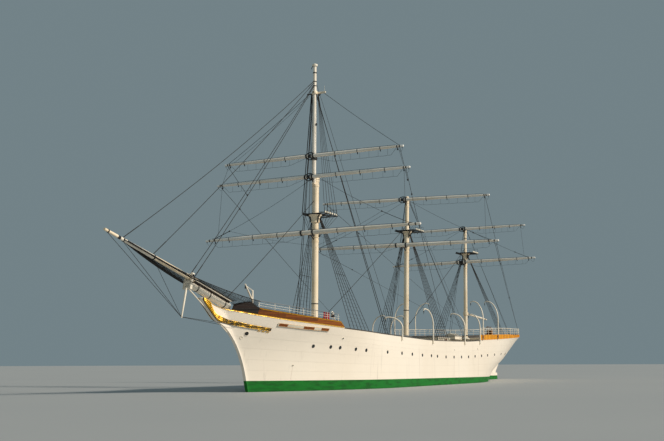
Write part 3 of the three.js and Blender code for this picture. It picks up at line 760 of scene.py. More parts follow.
def makeBulwark(word, side):
    shape = Shape()
    stations = run(hull["poopBreak"], hull["forecastleBreak"], 70)
    top = bulwark["capDeep"]
    foot, thick = bulwark["seam"] - hull["bulwark"], bulwark["thick"]
    out, into = bulwark["capOut"], -bulwark["capIn"]
    wall = [(foot, 0), (-top, 0), (-top, -thick), (foot, -thick)]
    cap = [(-top, out - 1), (2 - top, out), (-1.5, out), (0, out - 1.5), (0, into + 1.5), (-1.5, into),
           (2 - top, into), (-top, into + 1)]
    for section, look in ((wall, "hull"), (cap, "railing")):
        strip(shape, side, stations, lambda x: [(sheerAt(x) + h, out) for h, out in section], look)
    first, last = stations[0] + 60, stations[-1] - 60
    inward = Vector((0, -side, 0))
    for x in run(first, last, round((last - first) / bulwark["stayEvery"])):
        high = onSide(side, x, sheerAt(x) - top, -thick)
        low = onSide(side, x, deckAt(x), -thick)
        knee = [high, low, low + inward * bulwark["stayFoot"], high + inward * bulwark["stayHead"]]
        shape.plate(knee, (bulwark["stayThick"], 0, 0), "white")
    for x, *_ in davits:
        if x > hull["poopBreak"]:
            davitSocket(shape, side, x)
    start, end = bulwark["bar"]
    rise = lifted(bulwark["barHigh"])
    bar = [onSide(side, x, sheerAt(x), -bulwark["barIn"]) + rise for x in run(start, end, 30)]
    shape.tube(bar, bulwark["barRadius"], "black")
    for x in run(start + 10, end - 10, 20):
        foot = onSide(side, x, sheerAt(x), -bulwark["barIn"])
        shape.tube([foot, foot + rise], bulwark["barPost"], "black")
    setOut(shape, "bulwark_" + word, "root", ["main_bulwark_" + word])


# Wooden bands and the railings on them
railings = {
    "thick": 12, "seam": 1.2, "bead": 1.8, "capDeep": 5, "moulding": 3.4, "goldDown": 9, "linerThick": 4,
    "high": {"forecastle": 62, "poop": 82}, "postEvery": {"forecastle": 150, "poop": 160},
    "post": 2.4, "rail": 3.0, "lowRail": 1.3, "lowRails": (0.36, 0.68), "knob": 1.6,
    "pilasterEvery": 84, "sternSteps": (0.1, 0.4, 1, 2.2, 4, 7, 12, 19, 29, 42, 58, 78, 105, 140),
    "headEnd": 3795, "headRail": (2700, 3600), "slantEnd": 2710,
}


# Heights of the wooden bands: x, height
bandLines = {
    "forecastle": [(2640, 51), (3287, 60), (3600, 62), (3635, 76), (3667, 90), (3730, 72), (3795, 46)],
    "poop": [(-3840, 36), (-3000, 40), (-2200, 59), (-1030, 66)],
}


def bandTop(deck, x):
    # the after end of the forecastle band slants down
    slant = min(1, (x - 2634) / 64) if deck == "forecastle" else 1
    return along(bandLines[deck], x) * slant


def bandStations(deck):
    # from aft forward, close together where the stern turns or the band slants
    if deck == "poop":
        stern = along(sternLine, sheerLine[0][1])
        return [stern + step for step in railings["sternSteps"]] + run(stern + 180, hull["poopBreak"] - 2, 46)
    slantEnd = railings["slantEnd"]
    return run(hull["forecastleBreak"] + 2, slantEnd, 6) + run(slantEnd + 20, railings["headEnd"], 66)


def railPoint(deck, side, x, share):
    # place over the band, as a share of the railing's height
    rise = bandTop(deck, x) + railings["high"][deck] * share
    return onSide(side, x, sheerAt(x), -railings["thick"] / 2) + lifted(rise)


def bandWood(shape, side, deck, stations, look):
    # planking of the band and the moulded cap over it
    thick, bead, deep, seam = [railings[word] for word in ("thick", "bead", "capDeep", "seam")]

    def top(x, down=0):
        return sheerAt(x) + bandTop(deck, x) - down

    strip(shape, side, stations, lambda x: [
        (sheerAt(x) + seam, 0), (top(x, deep), 0), (top(x, deep), -thick), (sheerAt(x) + seam, -thick)], look)
    cap = [(deep, bead), (1, bead), (0, 0.6), (0, -thick - 1), (deep, -thick - bead)]
    strip(shape, side, stations, lambda x: [(top(x, down), out) for down, out in cap], look)


def moulding(shape, side, stations, foot, look):
    # thin ledge along the band; foot(x) is its lower edge
    bead, tall = railings["bead"], railings["moulding"]
    strip(shape, side, stations, lambda x: [
        (foot(x), -0.5), (foot(x), bead), (foot(x) + tall, bead), (foot(x) + tall, -0.5)], look)


def forecastleWood(shape, side, stations):
    # teak aft, and the same teak painted nearly black at the bow: painted shade on the band's forward-facing
    # end; gold lines above and below
    bandWood(shape, side, "forecastle", [x for x in stations if x < 3600], "teak")
    bandWood(shape, side, "forecastle", [x for x in stations if x > 3584], "paintedShadeWood")
    moulding(shape, side, stations, lambda x: sheerAt(x) + railings["seam"], "gold")
    moulding(shape, side, [x for x in stations if 2660 < x < 3600],
             lambda x: sheerAt(x) + bandTop("forecastle", x) - railings["goldDown"], "gold")


def poopWood(shape, side, stations):
    # varnished all along, with a grey lining and small pilasters
    bandWood(shape, side, "poop", stations, "varnish")
    moulding(shape, side, stations, lambda x: sheerAt(x) + railings["seam"], "varnish")
    inner = 1 - railings["thick"]
    outer = inner - railings["linerThick"]

    def lining(x):
        foot, top = sheerAt(x) + railings["seam"], sheerAt(x) + bandTop("poop", x) + 0.4
        return [(foot, inner), (top, inner), (top, outer), (foot, outer)]

    strip(shape, side, stations, lining, "railing")
    for x in run(stations[0] + 16, stations[-1] - 12, railings["pilasterEvery"]):
        foot = onSide(side, x, sheerAt(x), 0.8)
        tall = bandTop("poop", x) - 8
        shape.block((foot.x, foot.y, foot.z + 2 + tall / 2), (3.0, 2.4, tall), "varnish", 0.6)


def makeRailing(shape, side, deck, places):
    look = "white" if deck == "poop" else "grey"
    shape.tube([railPoint(deck, side, x, 1) for x in places], railings["rail"], look, 8)
    for share in railings["lowRails"]:
        shape.tube([railPoint(deck, side, x, share) for x in places], railings["lowRail"], "white", 6)
    high, post = railings["high"][deck], railings["post"]
    rows = [(-4, post + 2.5), (1.5, post + 2.5), (3, post)]
    for low in railings["lowRails"]:
        for up, more in ((-0.03, 0), (0, railings["knob"]), (0.03, 0)):
            rows.append((high * (low + up), post + more))
    rows.append((high, post))
    first, last = places[0] + 16, places[-1] - 16
    for x in run(first, last, round((last - first) / railings["postEvery"][deck])):
        shape.lathe(railPoint(deck, side, x, 0), (0, 0, 1), rows, "white", 8)


def closeStern(shape, x):
    # panel and rails from side to side across the stern
    tall = bandTop("poop", x)
    foot = onSide(1, x, sheerAt(x), -railings["thick"] / 2)
    middle = (foot.x, 0, foot.z + railings["seam"] + tall / 2)
    shape.block(middle, (railings["thick"], 2 * foot.y + 6, tall), "varnish", 1)
    rails = [(1, railings["rail"], 8)] + [(share, railings["lowRail"], 6) for share in railings["lowRails"]]
    for share, radius, sides in rails:
        shape.tube([railPoint("poop", side, x, share) for side in (-1, 1)], radius, "white", sides)


def davitCheek(shape, side, x):
    # wooden cheek that hides the davit's heel
    place = onSide(side, x, sheerAt(x), davitLook["outward"] + davitLook["radius"] + 4)
    shape.block((place.x, place.y, place.z + 34), (30, 4, 60), "varnish", 1.2)


def makeBand(word, side, deck):
    shape = Shape()
    stations = bandStations(deck)
    if deck == "poop":
        poopWood(shape, side, stations)
        makeRailing(shape, side, deck, stations)
        if side > 0:
            closeStern(shape, stations[0])
        for x, *_ in davits:
            if x < hull["poopBreak"]:
                davitSocket(shape, side, x)
                davitCheek(shape, side, x)
    else:
        forecastleWood(shape, side, stations)
        start, end = railings["headRail"]
        makeRailing(shape, side, deck, [x for x in stations if start < x < end])
    setOut(shape, deck + "_band_" + word, "root", [deck + "_bulwark_" + word])


for word, side in sideOf.items():
    makeBulwark(word, side)
    makeBand(word, side, "forecastle")
    makeBand(word, side, "poop")
print("bulwarks and bands done")


# portholes and small fittings in the plating

# Portholes: x, z
portholes = [
    (2941, 395), (2741, 390), (2623, 385), (2406, 373), (2244, 364), (1840, 350), (1484, 341), (1213, 333),
    (933, 325), (673, 320), (493, 316), (227, 308), (-33, 308), (-286, 310), (-532, 313), (-770, 320),
    (-1022, 327), (-1282, 336), (-1636, 345), (-2062, 356), (-2471, 362),
]
portLook = {"glass": 13, "ring": 17, "proud": 2.2, "sides": 20, "brow": 1.3, "browDip": 0.03}


def makePortholes(word, side):
    shape = Shape()
    glass, ring, proud = portLook["glass"], portLook["ring"], portLook["proud"]
    for x, z in portholes:
        centre = onSide(side, x, z, 0.2)
        out = squareOut(side, x, z)
        shape.lathe(centre - out * 2, out, [(0, glass), (2.6, glass), (2.6, 0)], "glass", portLook["sides"])
        shape.ring(centre + out * 0.4, out, (glass + ring) / 2, proud, "iron", portLook["sides"], 6)
        over = centre + out * 3 + lifted(ring + 2)
        level = out.cross(lifted(1))
        brow = [over + level * y - lifted(portLook["browDip"] * y * y) for y in run(-15, 15, 6)]
        shape.tube(brow, portLook["brow"], "white", 5)
    setOut(shape, "portholes_" + word, "root")


# Small fittings of the plating: kind, x, z, radius or half length
fittings = [
    ("hole", 3610, 495, 19), ("ring", 3640, 462, 12), ("hole", 3101, 225, 7), ("hole", 2619, 468, 10),
    ("mark", -60, 389, 8), ("mark", -877, 409, 9), ("mark", -59, 469, 6),
]
# Lamp boards and lamps on the forecastle, lifted over the sheer
sideLight = {"first": 2823, "last": 2905, "low": 6, "high": 72, "lamp": 2790, "lift": 50}


def makeFittings(word, side):
    shape = Shape()
    for kind, x, z, size in fittings:
        centre = onSide(side, x, z, 0.2)
        out = squareOut(side, x, z)
        if kind == "hole":
            # a hole is a dark iron disc over the opening: painted shade for its dark inside
            shape.lathe(centre - out * 2, out, [(0, size), (2.4, size), (2.4, 0)], "iron", 20)
            shape.ring(centre + out * 0.6, out, size + 1.5, 2.6, "white", 22, 8)
        elif kind == "ring":
            shape.ring(centre + out * 2, out, size, 2.2, "white", 20, 8)
        else:
            shape.block(centre, (size * 2.2, 1.6, size * 0.8), "iron", 0.4)
    addSideLight(shape, side)
    setOut(shape, "fittings_" + word, "root")


def addSideLight(shape, side):
    # lamp board and lamp inside the forecastle rail
    low, high, lift = sideLight["low"], sideLight["high"], sideLight["lift"]
    look = "red" if side > 0 else "greenLamp"
    for x in run(sideLight["first"], sideLight["last"], 3)[:-1]:
        place = onSide(side, x + 14, sheerAt(x), -20)
        middle = sheerAt(x) + lift + (low + high) / 2
        shape.block((place.x, place.y, middle), (28, 4, high - low), look, 0.8)
    x = sideLight["lamp"]
    place = onSide(side, x, sheerAt(x), -14)
    foot = sheerAt(x) + lift
    shape.block((place.x, place.y, foot + 42), (30, 26, 26), "black", 2)
    shape.lathe((place.x, place.y, foot + 54), (0, 0, 1), [(0, 10), (4, 12), (10, 6)], "white", 16)
    shape.tube([(place.x, place.y, foot), (place.x, place.y, foot + 32)], 2.4, "white", 8)


for word, side in sideOf.items():
    makePortholes(word, side)
    makeFittings(word, side)


# masts, yards and their ironwork

masts = {
    "fore": {"x": 2251, "rake": 0.018, "foot": 33, "deck": deckAt, "node": "foremast",
             "rows": [(1640, 32), (2085, 33), (2098, 28)]},
    "main": {"x": -15, "rake": 0.056, "foot": 31, "deck": deckAt, "node": "mainmast",
             "rows": [(1740, 29), (1850, 24), (2236, 22), (2243, 18)]},
    "mizzen": {"x": -2117, "rake": 0.05, "foot": 26, "deck": sheerAt, "node": "mizzenmast",
               "rows": [(1690, 25), (1780, 20), (2114, 18), (2121, 15)]},
}
# Fore topmast, stepped ahead of the lower mast's head: height, radius
topmast = {
    "ahead": 38, "above": 2110,
    "rows": [(2008, 14), (2022, 20), (2950, 18.5), (3090, 17), (3226, 16), (3232, 22), (3249, 22),
             (3256, 14)],
    # blocks of wood that hold its heel: height, then how far ahead of the mast and size
    "cap": (2081, 2080, 13, (98, 54, 14)), "heel": (2014, 2020, 30, (60, 30, 10)),
    "truck": 3240, "sheave": 3222, "lamp": 2620,
}
# Rows of height and radius: the coat round a mast's foot, a yard's pin and the eye on it
coat = [(0, 58), (7, 58), (10, 54), (14, 44), (22, 37), (22, 30)]
pin = [(-4, 6), (20, 6)]
eyeRing = [(-6, 7), (-6, 15), (6, 15), (6, 7)]
# Bracket that carries a yard: below the yard's middle, past the pin, its size, strut and bands
bracket = {"down": 7, "past": 10, "wide": 20, "deep": 14, "strut": 66, "strutRadii": [6, 5], "band": 14}
# Yards: mast, height, half length, middle and tip radius, distance ahead of the mast, pin ahead of it,
# trim of the port arm upwards in degrees, spacing of the middle bands
yards = {
    "fore_yard": ("fore", 1505, 1192, 23, 11, 165, 103, 0.6, 63),
    "fore_lower_topsail_yard": ("fore", 2065, 1081, 18, 10, 144, 93, 0, 38),
    "fore_upper_topsail_yard": ("fore", 2280, 1007, 18, 10, 86, 46, 0, 36),
    "main_yard": ("main", 1627, 1200, 23, 11, 168, 106, -0.6, 63),
    "main_topsail_yard": ("main", 2185, 1085, 18, 10, 132, 82, -1.4, 40),
    "crossjack_yard": ("mizzen", 1612, 1032, 20, 10, 155, 95, 0.7, 58),
    "mizzen_topsail_yard": ("mizzen", 2081, 887, 17, 9, 108, 61, 0, 38),
}


def mastX(mast, z):
    return masts[mast]["x"] - masts[mast]["rake"] * z


def spineX(mast, z):
    # middle of whatever part of the mast stands at a height
    return mastX(mast, z) + (topmast["ahead"] if mast == "fore" and z > topmast["above"] else 0)


def mastRows(mast):
    own = masts[mast]
    centre = own["x"] - own["rake"] * own["deck"](own["x"])
    foot = 1.2 + max(own["deck"](centre - own["foot"]), own["deck"](centre + own["foot"]))
    return [(foot, own["foot"])] + own["rows"]


def mastRadius(mast, z):
    rows = topmast["rows"] if mast == "fore" and z > topmast["above"] else mastRows(mast)
    return straight(rows, z)


def mastPoint(mast, z, y=0, ahead=0):
    return Vector((spineX(mast, z) + ahead, y, z))


def mastBand(shape, mast, z, tall, proud, look="black"):
    rows = [(-tall / 2, -1), (-tall / 2, proud), (tall / 2, proud), (tall / 2, -1)]
    axis = Vector((-masts[mast]["rake"], 0, 1))
    shape.lathe(mastPoint(mast, z), axis, [(h, mastRadius(mast, z + h) + r) for h, r in rows], look, 24)


# Iron bands on the masts: height, how tall, how proud
mastBands = {
    "fore": [(470, 12, 3), (820, 8, 2.5), (3022, 8, 3), (3068, 8, 3), (3160, 10, 3)],
    "main": [(455, 12, 3), (860, 8, 2.5), (2215, 10, 2.5)],
    "mizzen": [(610, 12, 3), (1960, 8, 2.5), (2095, 10, 2.5)],
}


def pole(shape, mast, rows, look):
    # round spar standing along a mast, its rows subdivided
    fine = []
    for (z, _), (zNext, _) in zip(rows, rows[1:]):
        steps = max(1, round((zNext - z) / 120))
        fine += [z + (zNext - z) * k / steps for k in range(steps)]
    fine.append(rows[-1][0])
    ahead = topmast["ahead"] if rows is topmast["rows"] else 0
    rings = []
    for z in fine:
        x = mastX(mast, z) + ahead
        r = straight(rows, z)
        rings.append([(x + r * u, r * v, z) for u, v in circle(28)])
    shape.skin(rings, look)


def yardArm(shape, mast, z, pinAhead, start=0):
    # bracket with the pin on which a yard swings
    x = spineX(mast, z)
    top = z - bracket["down"]
    end = pinAhead + bracket["past"]
    deep = bracket["deep"]
    shape.block((x + (start + end) / 2, 0, top - deep / 2), (end - start, bracket["wide"], deep), "black", 2)
    shape.lathe((x + pinAhead, 0, top), (0, 0, 1), pin, "black", 16)


def underYard(shape, mast, z, pinAhead):
    # strut below a yard's bracket, and the bands that hold both to the mast
    low = z - bracket["strut"]
    strut = [(mastX(mast, low), 0, low), (mastX(mast, z) + pinAhead - 4, 0, z - 15)]
    shape.tube(strut, bracket["strutRadii"], "black", 12)
    mastBand(shape, mast, z - bracket["band"], 34, 4, "shadeWarmCream")
    mastBand(shape, mast, low, 20, 3, "shadeWarmCream")


def addTopmast(shape):
    pole(shape, "fore", topmast["rows"], "spar")
    for name, chamfer in (("cap", 3), ("heel", 2)):
        z, at, ahead, size = topmast[name]
        shape.block((mastX("fore", at) + ahead, 0, z), size, "shadeWarmCream", chamfer)
    mastBand(shape, "fore", topmast["truck"], 18, 6, "white")
    # sheave below the truck, and a lamp
    head = mastPoint("fore", topmast["sheave"], 0, 8)
    shape.tube([head, head + Vector((6, -16, 6)), head + Vector((4, -30, -6)), head + Vector((0, -34, -20))],
               3.4, "black", 8)
    lamp = mastPoint("fore", topmast["lamp"], 25, 4)
    shape.lathe(lamp, (0, 0, 1), [(-12, 4), (-10, 8), (6, 8), (12, 4)], "black", 14)


def addGooseneck(shape):
    # collar, arm and pin that carry the boom
    z = boom["height"]
    x = mastX("mizzen", z)
    shape.lathe((x, 0, z), (0, 0, 1), [(-22, 34), (20, 34)], "shadeWarmCream", 24)
    shape.block(((gooseX - 9 + x) / 2, 0, z - 16), (x - gooseX + 9, 18, 8), "black", 1.5)
    shape.lathe((gooseX, 0, z), (0, 0, 1), [(-16, 6), (16, 6)], "black", 14)


def makeMast(mast):
    shape = Shape()
    rows = mastRows(mast)
    pole(shape, mast, rows, "shadeWarmCream")
    for z, tall, proud in mastBands[mast]:
        mastBand(shape, mast, z, tall, proud)
    foot = rows[0][0]
    shape.lathe(mastPoint(mast, foot), (-masts[mast]["rake"], 0, 1), coat, "white", 28)
    for name, (own, z, _, _, _, _, pinAhead, _, _) in yards.items():
        if own == mast and name != "fore_upper_topsail_yard":
            yardArm(shape, mast, z, pinAhead)
            underYard(shape, mast, z, pinAhead)
    if mast == "mizzen":
        addGooseneck(shape)
    if mast == "fore":
        addTopmast(shape)
    setOut(shape, mast + "_mast_spar", "root", [masts[mast]["node"]])


boom = {"height": 912, "end": (-3060, 0, 862), "gooseneck": 52}
gooseX = mastX("mizzen", boom["height"]) - boom["gooseneck"]
for mast in masts:
    makeMast(mast)


def yardRadius(name, y):
    _, _, half, middle, tip, *_ = yards[name]
    shoulder = (tip + middle) * 0.56
    return straight([(0, middle), (half * 0.12, middle), (half * 0.6, shoulder), (half, tip)], abs(y))


def yardPoint(name, y, ahead=0, up=0):
    # place on a yard, which may be trimmed
    mast, z, _, _, _, forward, _, trim, _ = yards[name]
    t = radians(trim)
    return Vector((spineX(mast, z) + forward + ahead, y * cos(t) - up * sin(t), z + y * sin(t) + up * cos(t)))


# Fittings of the yards; bandsAt goes by the yard's middle radius, and counts from the tip
yardLook = {
    "tip": 34, "bandProud": 2.2, "bandWide": 5,
    "bandsAt": {23: (50, 115), 18: (40, 65), 20: (46, 90), 17: (38, 60)},
    "footropeDrop": 72, "stirrups": 9, "jackstay": 1.7, "footrope": 1.2, "aft": -16,
    "blockShares": (0.28, 0.52, 0.76), "ropeFrom": 46, "ropeTo": 74, "slopeOver": 200, "endOver": 64,
    "jackstayUp": 4.5, "jackstayAhead": 4, "eyeEvery": 95, "middleBand": 8,
}


def armFittings(shape, name, s, at):
    # painted tip, bands and blocks of one arm; at gives a place along it
    _, _, half, middle, tip, *_ = yards[name]
    centre = at(0)
    way = at(1) - centre
    inner = half - yardLook["tip"]
    end = [(inner, yardRadius(name, inner)), (half - 3, tip), (half, tip - 3)]
    shape.lathe(centre, way, end, "bright", 24)
    wide = yardLook["bandWide"]
    for tipwards in yardLook["bandsAt"][middle]:
        y = half - tipwards
        r = yardRadius(name, y) + yardLook["bandProud"]
        shape.lathe(centre, way, [(y - wide, r), (y + wide, r)], "black", 24)
    for share in yardLook["blockShares"]:
        y = half * share
        r = yardRadius(name, y)
        shape.lathe(centre, way, [(y - 3, r + 1.5), (y + 3, r + 1.5)], "black", 20)
        shape.block(at(y, 0, -r - 10), (10, 7, 15), "black", 2.5)
    # block and shackle hanging below the arm
    shape.block(at(half - yardLook["bandsAt"][middle][1], -4, -tip - 16), (11, 9, 20), "black", 3)
    shape.ring(at(half - 16, 0, -tip - 5), way * s, 6, 1.6, "iron", 12, 6)


def footropes(shape, name, at):
    # rope below one arm, its stirrups, and the short loop at the tip
    _, _, half, _, tip, *_ = yards[name]
    start, arm = yardLook["ropeFrom"], half - yardLook["ropeTo"]
    drop, aft = yardLook["footropeDrop"], yardLook["aft"]
    hangers = run(start, arm, yardLook["stirrups"])
    for y in hangers[1:-1]:
        r = yardRadius(name, y)
        low = -drop * min(1, (y - start) / yardLook["slopeOver"])
        stirrup = [at(y, 0, r), at(y, -r - 1), at(y, -r, low * 0.5), at(y, aft, low)]
        shape.tube(stirrup, 0.9, "wire", 5)
    route = []
    for a, b in zip(hangers, hangers[1:]):
        for t in run(0, 1, 5)[:-1]:
            y = a + (b - a) * t
            edge = min(1, (y - start) / yardLook["slopeOver"], (arm - y) / yardLook["endOver"])
            sag = 12 * t * (1 - t) * edge
            down = yardRadius(name, y) * (1 - edge) + drop * edge + sag
            route.append(at(y, aft * edge, -down))
    route.append(at(arm, 0, -tip - 2))
    shape.tube(route, yardLook["footrope"], "wire", 5)
    loop = []
    for t in run(0, 1, 8):
        bow = sin(pi * t)
        loop.append(at(half - 66 + 60 * t, aft * bow, -tip - 40 * bow))
    shape.tube(loop, 1.0, "wire", 5)


def jackstay(shape, name, at):
    # rail along the top of one arm
    half = yards[name][2]
    up, ahead = yardLook["jackstayUp"], yardLook["jackstayAhead"]
    rail = [at(y, ahead, yardRadius(name, y) + up) for y in run(20, half - 80, 12)]
    shape.tube(rail, yardLook["jackstay"], "iron", 6)
    for y in run(24, half - 84, round(half / yardLook["eyeEvery"])):
        r = yardRadius(name, y)
        shape.tube([at(y, ahead, r - 2), at(y, ahead, r + 5)], 1.5, "iron", 5)


def truss(shape, name):
    # ironwork at a yard's middle, with the eye that turns on the bracket's pin
    mast, z, _, middle, _, ahead, pinAhead, _, bands = yards[name]
    centre = yardPoint(name, 0)
    way = yardPoint(name, 1) - centre
    wide = yardLook["middleBand"]
    for y in (-bands, bands):
        shape.lathe(centre, way, [(y - wide, middle + 5), (y + wide, middle + 5)], "black", 24)
    # bows above and below the middle, from band to band, and their swivel behind it
    if bands < 60:
        for s in (1, -1):
            bow = [(bands * cos(t), s * (middle + 1 + 17 * sin(t))) for t in run(0, pi, 12)]
            shape.tube([yardPoint(name, y, -7, up) for y, up in bow], 4.8, "black", 8)
        shape.lathe(centre, way, [(-bands * 0.5, middle + 1.5), (bands * 0.5, middle + 1.5)], "black", 24)
    if ahead - pinAhead > 42:
        swivel = [yardPoint(name, 0, -middle - 5, up) for up in (-middle - 12, middle + 12)]
        shape.tube(swivel, 7, "black", 12)
    pinX = spineX(mast, z) + pinAhead
    ringWall(shape, (pinX, 0, z), eyeRing, "black", 24)
    x = spineX(mast, z) + ahead
    for s in (1, -1):
        cheek = [(pinX, s * 9, z - 6), (pinX, s * 15, z - 6), (x, s * 21, z - 6), (x, s * 9, z - 6)]
        shape.plate(cheek, (0, 0, 12), "black")


def makeYard(name):
    shape = Shape()
    half = yards[name][2]
    centre = yardPoint(name, 0)
    way = yardPoint(name, 1) - centre
    stops = [s * half for s in (0, 0.12, 0.3, 0.45, 0.6, 0.75, 0.88)] + [half - yardLook["tip"]]
    edges = [-y for y in stops[:0:-1]] + stops
    shape.lathe(centre, way, [(y, yardRadius(name, y)) for y in edges], "spar", 24)
    for s in (1, -1):
        def at(y, ahead=0, up=0):
            return yardPoint(name, s * y, ahead, up)

        armFittings(shape, name, s, at)
        footropes(shape, name, at)
        jackstay(shape, name, at)
    truss(shape, name)
    setOut(shape, name + "_spar", name, [name])


def ringWall(shape, centre, rows, look, sides=28):
    # turned ring with a hole: rows of height and radius round its section
    x, y, z = centre
    rings = [[(x + r * u, y + r * v, z + h) for u, v in circle(sides)] for h, r in rows + rows[:1]]
    shape.skin(rings, look, caps=False)


for name in yards:
    makeYard(name)


def makeParrel():
    # collar that slides on the topmast and carries the upper topsail yard
    shape = Shape()
    mast, z, _, _, _, _, pinAhead, *_ = yards["fore_upper_topsail_yard"]
    x = spineX(mast, z)
    ringWall(shape, (x, 0, z), [(-24, 23), (-24, 29), (-21, 31), (21, 31), (24, 29), (24, 23)], "black")
    for h in (-14, 14):
        ringWall(shape, (x, 0, z + h), [(-3, 30), (-3, 33), (3, 33), (3, 30)], "iron")
    yardArm(shape, mast, z, pinAhead, 26)
    setOut(shape, "topsail_parrel", "fore_topsail_parrel", ["fore_topsail_parrel"])


makeParrel()


def makeBoom():
    shape = Shape()
    start = Vector((gooseX - 12, 0, boom["height"]))
    end = Vector(boom["end"])
    way = end - start
    rows = [(way.length * k / 3, r) for k, r in enumerate((9, 13, 13, 9))]
    shape.lathe(start, way, rows, "white", 24)
    for share in (0.05, 0.5, 0.92):
        shape.lathe(start + way * share, way, [(-4, 15), (4, 15)], "black", 20)
    ringWall(shape, (gooseX, 0, boom["height"]), [(-10, 7), (-10, 13), (10, 13), (10, 7)], "iron", 20)
    setOut(shape, "boom_spar", "spanker_boom", ["spanker_boom"])


makeBoom()
print("masts and yards done")


# tops and crosstrees

# Tops, open frames: mast, height, half width, forward reach, aft reach
tops = {
    "fore_top": ("fore", 1716, 130, 60, 240),
    "main_top": ("main", 1824, 140, 85, 215),
    "mizzen_top": ("mizzen", 1758, 130, 75, 190),
}
topLook = {
    "thick": 9, "beam": 11, "corner": 40, "kneeReach": 88, "kneeDrop": 84, "knees": (60, 120, 240, 300),
    "chamfer": 2, "gap": 2.5, "rail": 58,
}


def topRim(name, inset):
    # outline of a top's edge, so far inside it
    _, _, half, forward, aft = tops[name]
    corner = topLook["corner"]
    points = [(-aft + inset, inset - half)]
    for first, s in ((-90, -1), (0, 1)):
        for t in run(radians(first), radians(first + 90), 6):
            reach = corner - inset
            points.append((forward - corner + reach * cos(t), s * (half - corner) + reach * sin(t)))
    points.append((-aft + inset, half - inset))
    return points


def topFrame(shape, name, x, hub):
    # rim, trestles fore and aft, and beams across them
    mast, z, half, forward, aft = tops[name]
    thick, beam, cut = topLook["thick"], topLook["beam"], topLook["chamfer"]
    section = [(0, -cut), (0, -thick + cut), (cut, -thick), (beam - cut, -thick), (beam, -thick + cut),
               (beam, -cut), (beam - cut, 0), (cut, 0)]
    rims = [[(x + a, b, z + h) for a, b in topRim(name, inset)] for inset, h in section + section[:1]]
    shape.skin(rims, "black", caps=False)
    size = (forward + aft - 2 * beam + 2, beam, thick)
    wide = half - hub - 2 * beam
    middle = z - thick / 2
    for s in (1, -1):
        shape.block((x + (forward - aft) / 2, s * (hub + beam / 2), middle), size, "black", cut)
        for a in (-(aft + hub) / 2, -hub, hub):
            shape.block((x + a, s * (hub + beam + wide / 2), middle), (beam, wide + 2, thick), "black", cut)
    shape.block((x - (aft + hub) / 2, 0, middle), (beam, 2 * hub, thick), "black", cut)
    # solid floor between the trestles round the mast
    hole = mastRadius(mast, z) + topLook["gap"]
    after, front = -hub - beam / 2, forward - beam
    for s in (1, -1):
        arc = [(hole * cos(t), s * hole * sin(t)) for t in run(0, pi, 14)]
        loop = arc + [(after, 0.0), (after, s * hub), (front, s * hub), (front, 0.0)]
        shape.plate([(x + a, b, z - thick + 0.5) for a, b in loop], (0, 0, thick - 1), "black")


def topHub(shape, name, x, hub):
    # collars round the mast below a top, and the flare between them
    mast, z, *_ = tops[name]
    drop, gap = topLook["kneeDrop"], topLook["gap"]
    for low, high in ((-24, 0), (-drop - 8, 12 - drop)):
        rows = [(low, mastRadius(mast, z + low) + gap), (low, hub - 2), (low + 2, hub), (high - 2, hub),
                (high, hub - 2), (high, mastRadius(mast, z + high) + gap)]
        ringWall(shape, (x, 0, z), rows, "shadeWarmCream")
    flare = [(-drop, -2), (-drop * 0.7, 0), (-drop * 0.4, 6), (-24, 20), (-14, 24), (-14, -2)]
    ringWall(shape, (x, 0, z), [(h, hub + out) for h, out in flare], "shadeWarmCream")


def topKnee(shape, x, z, hub, heading):
    # curved bracket from the mast out to a top's beam
    reach, drop = topLook["kneeReach"], topLook["kneeDrop"]
    turn = Matrix.Rotation(radians(heading), 3, "Z")
    curve = [(hub - 4, 0), (reach, 0), (reach, -6)]
    for t in run(0, 1, 8)[1:]:
        u = 1 - t
        out = u * u * reach + 2 * u * t * (hub + 10) + t * t * (hub + 4)
        curve.append((out, -6 * u * u - 24 * u * t - drop * t * t))
    curve.append((hub - 4, -drop))
    face = [turn @ Vector((a, -4, h - 4)) + Vector((x, 0, z)) for a, h in curve]
    shape.plate(face, turn @ Vector((0, 8, 0)), "black")
    edge = [turn @ Vector((a, 0, h - 4)) + Vector((x, 0, z)) for a, h in curve[2:-1]]
    shape.tube(edge, 5, "black", 8)


def makeTop(name):
    mast, z, half, _, aft = tops[name]
    shape = Shape()
    x = mastX(mast, z)
    hub = mastRadius(mast, z) + 11
    topFrame(shape, name, x, hub)
    topHub(shape, name, x, hub)
    for heading in topLook["knees"]:
        topKnee(shape, x, z, hub, heading)
    # blocks seized along both sides, and a low rail aft; the blocks are of one kind, white to port in painted
    # light and black to starboard in painted shade
    for s in (1, -1):
        for a in run(-aft + 20, 20, 5):
            shape.block((x + a, s * (half - 8), z + 9), (24, 10, 18), "house" if s > 0 else "black", 3)
    rail = z + topLook["rail"]
    posts = [(-aft + 8, b) for b in run(-half + 10, half - 10, 4)]
    for a, b in posts:
        shape.tube([(x + a, b, z - 1), (x + a, b, rail)], 1.4, "iron", 6)
    shape.tube([(x + a, b, rail) for a, b in posts], 1.7, "iron", 6)
    setOut(shape, name + "_platform", "root", [name])


for name in tops:
    makeTop(name)


crosstrees = {"height": 2955, "arm": 98}


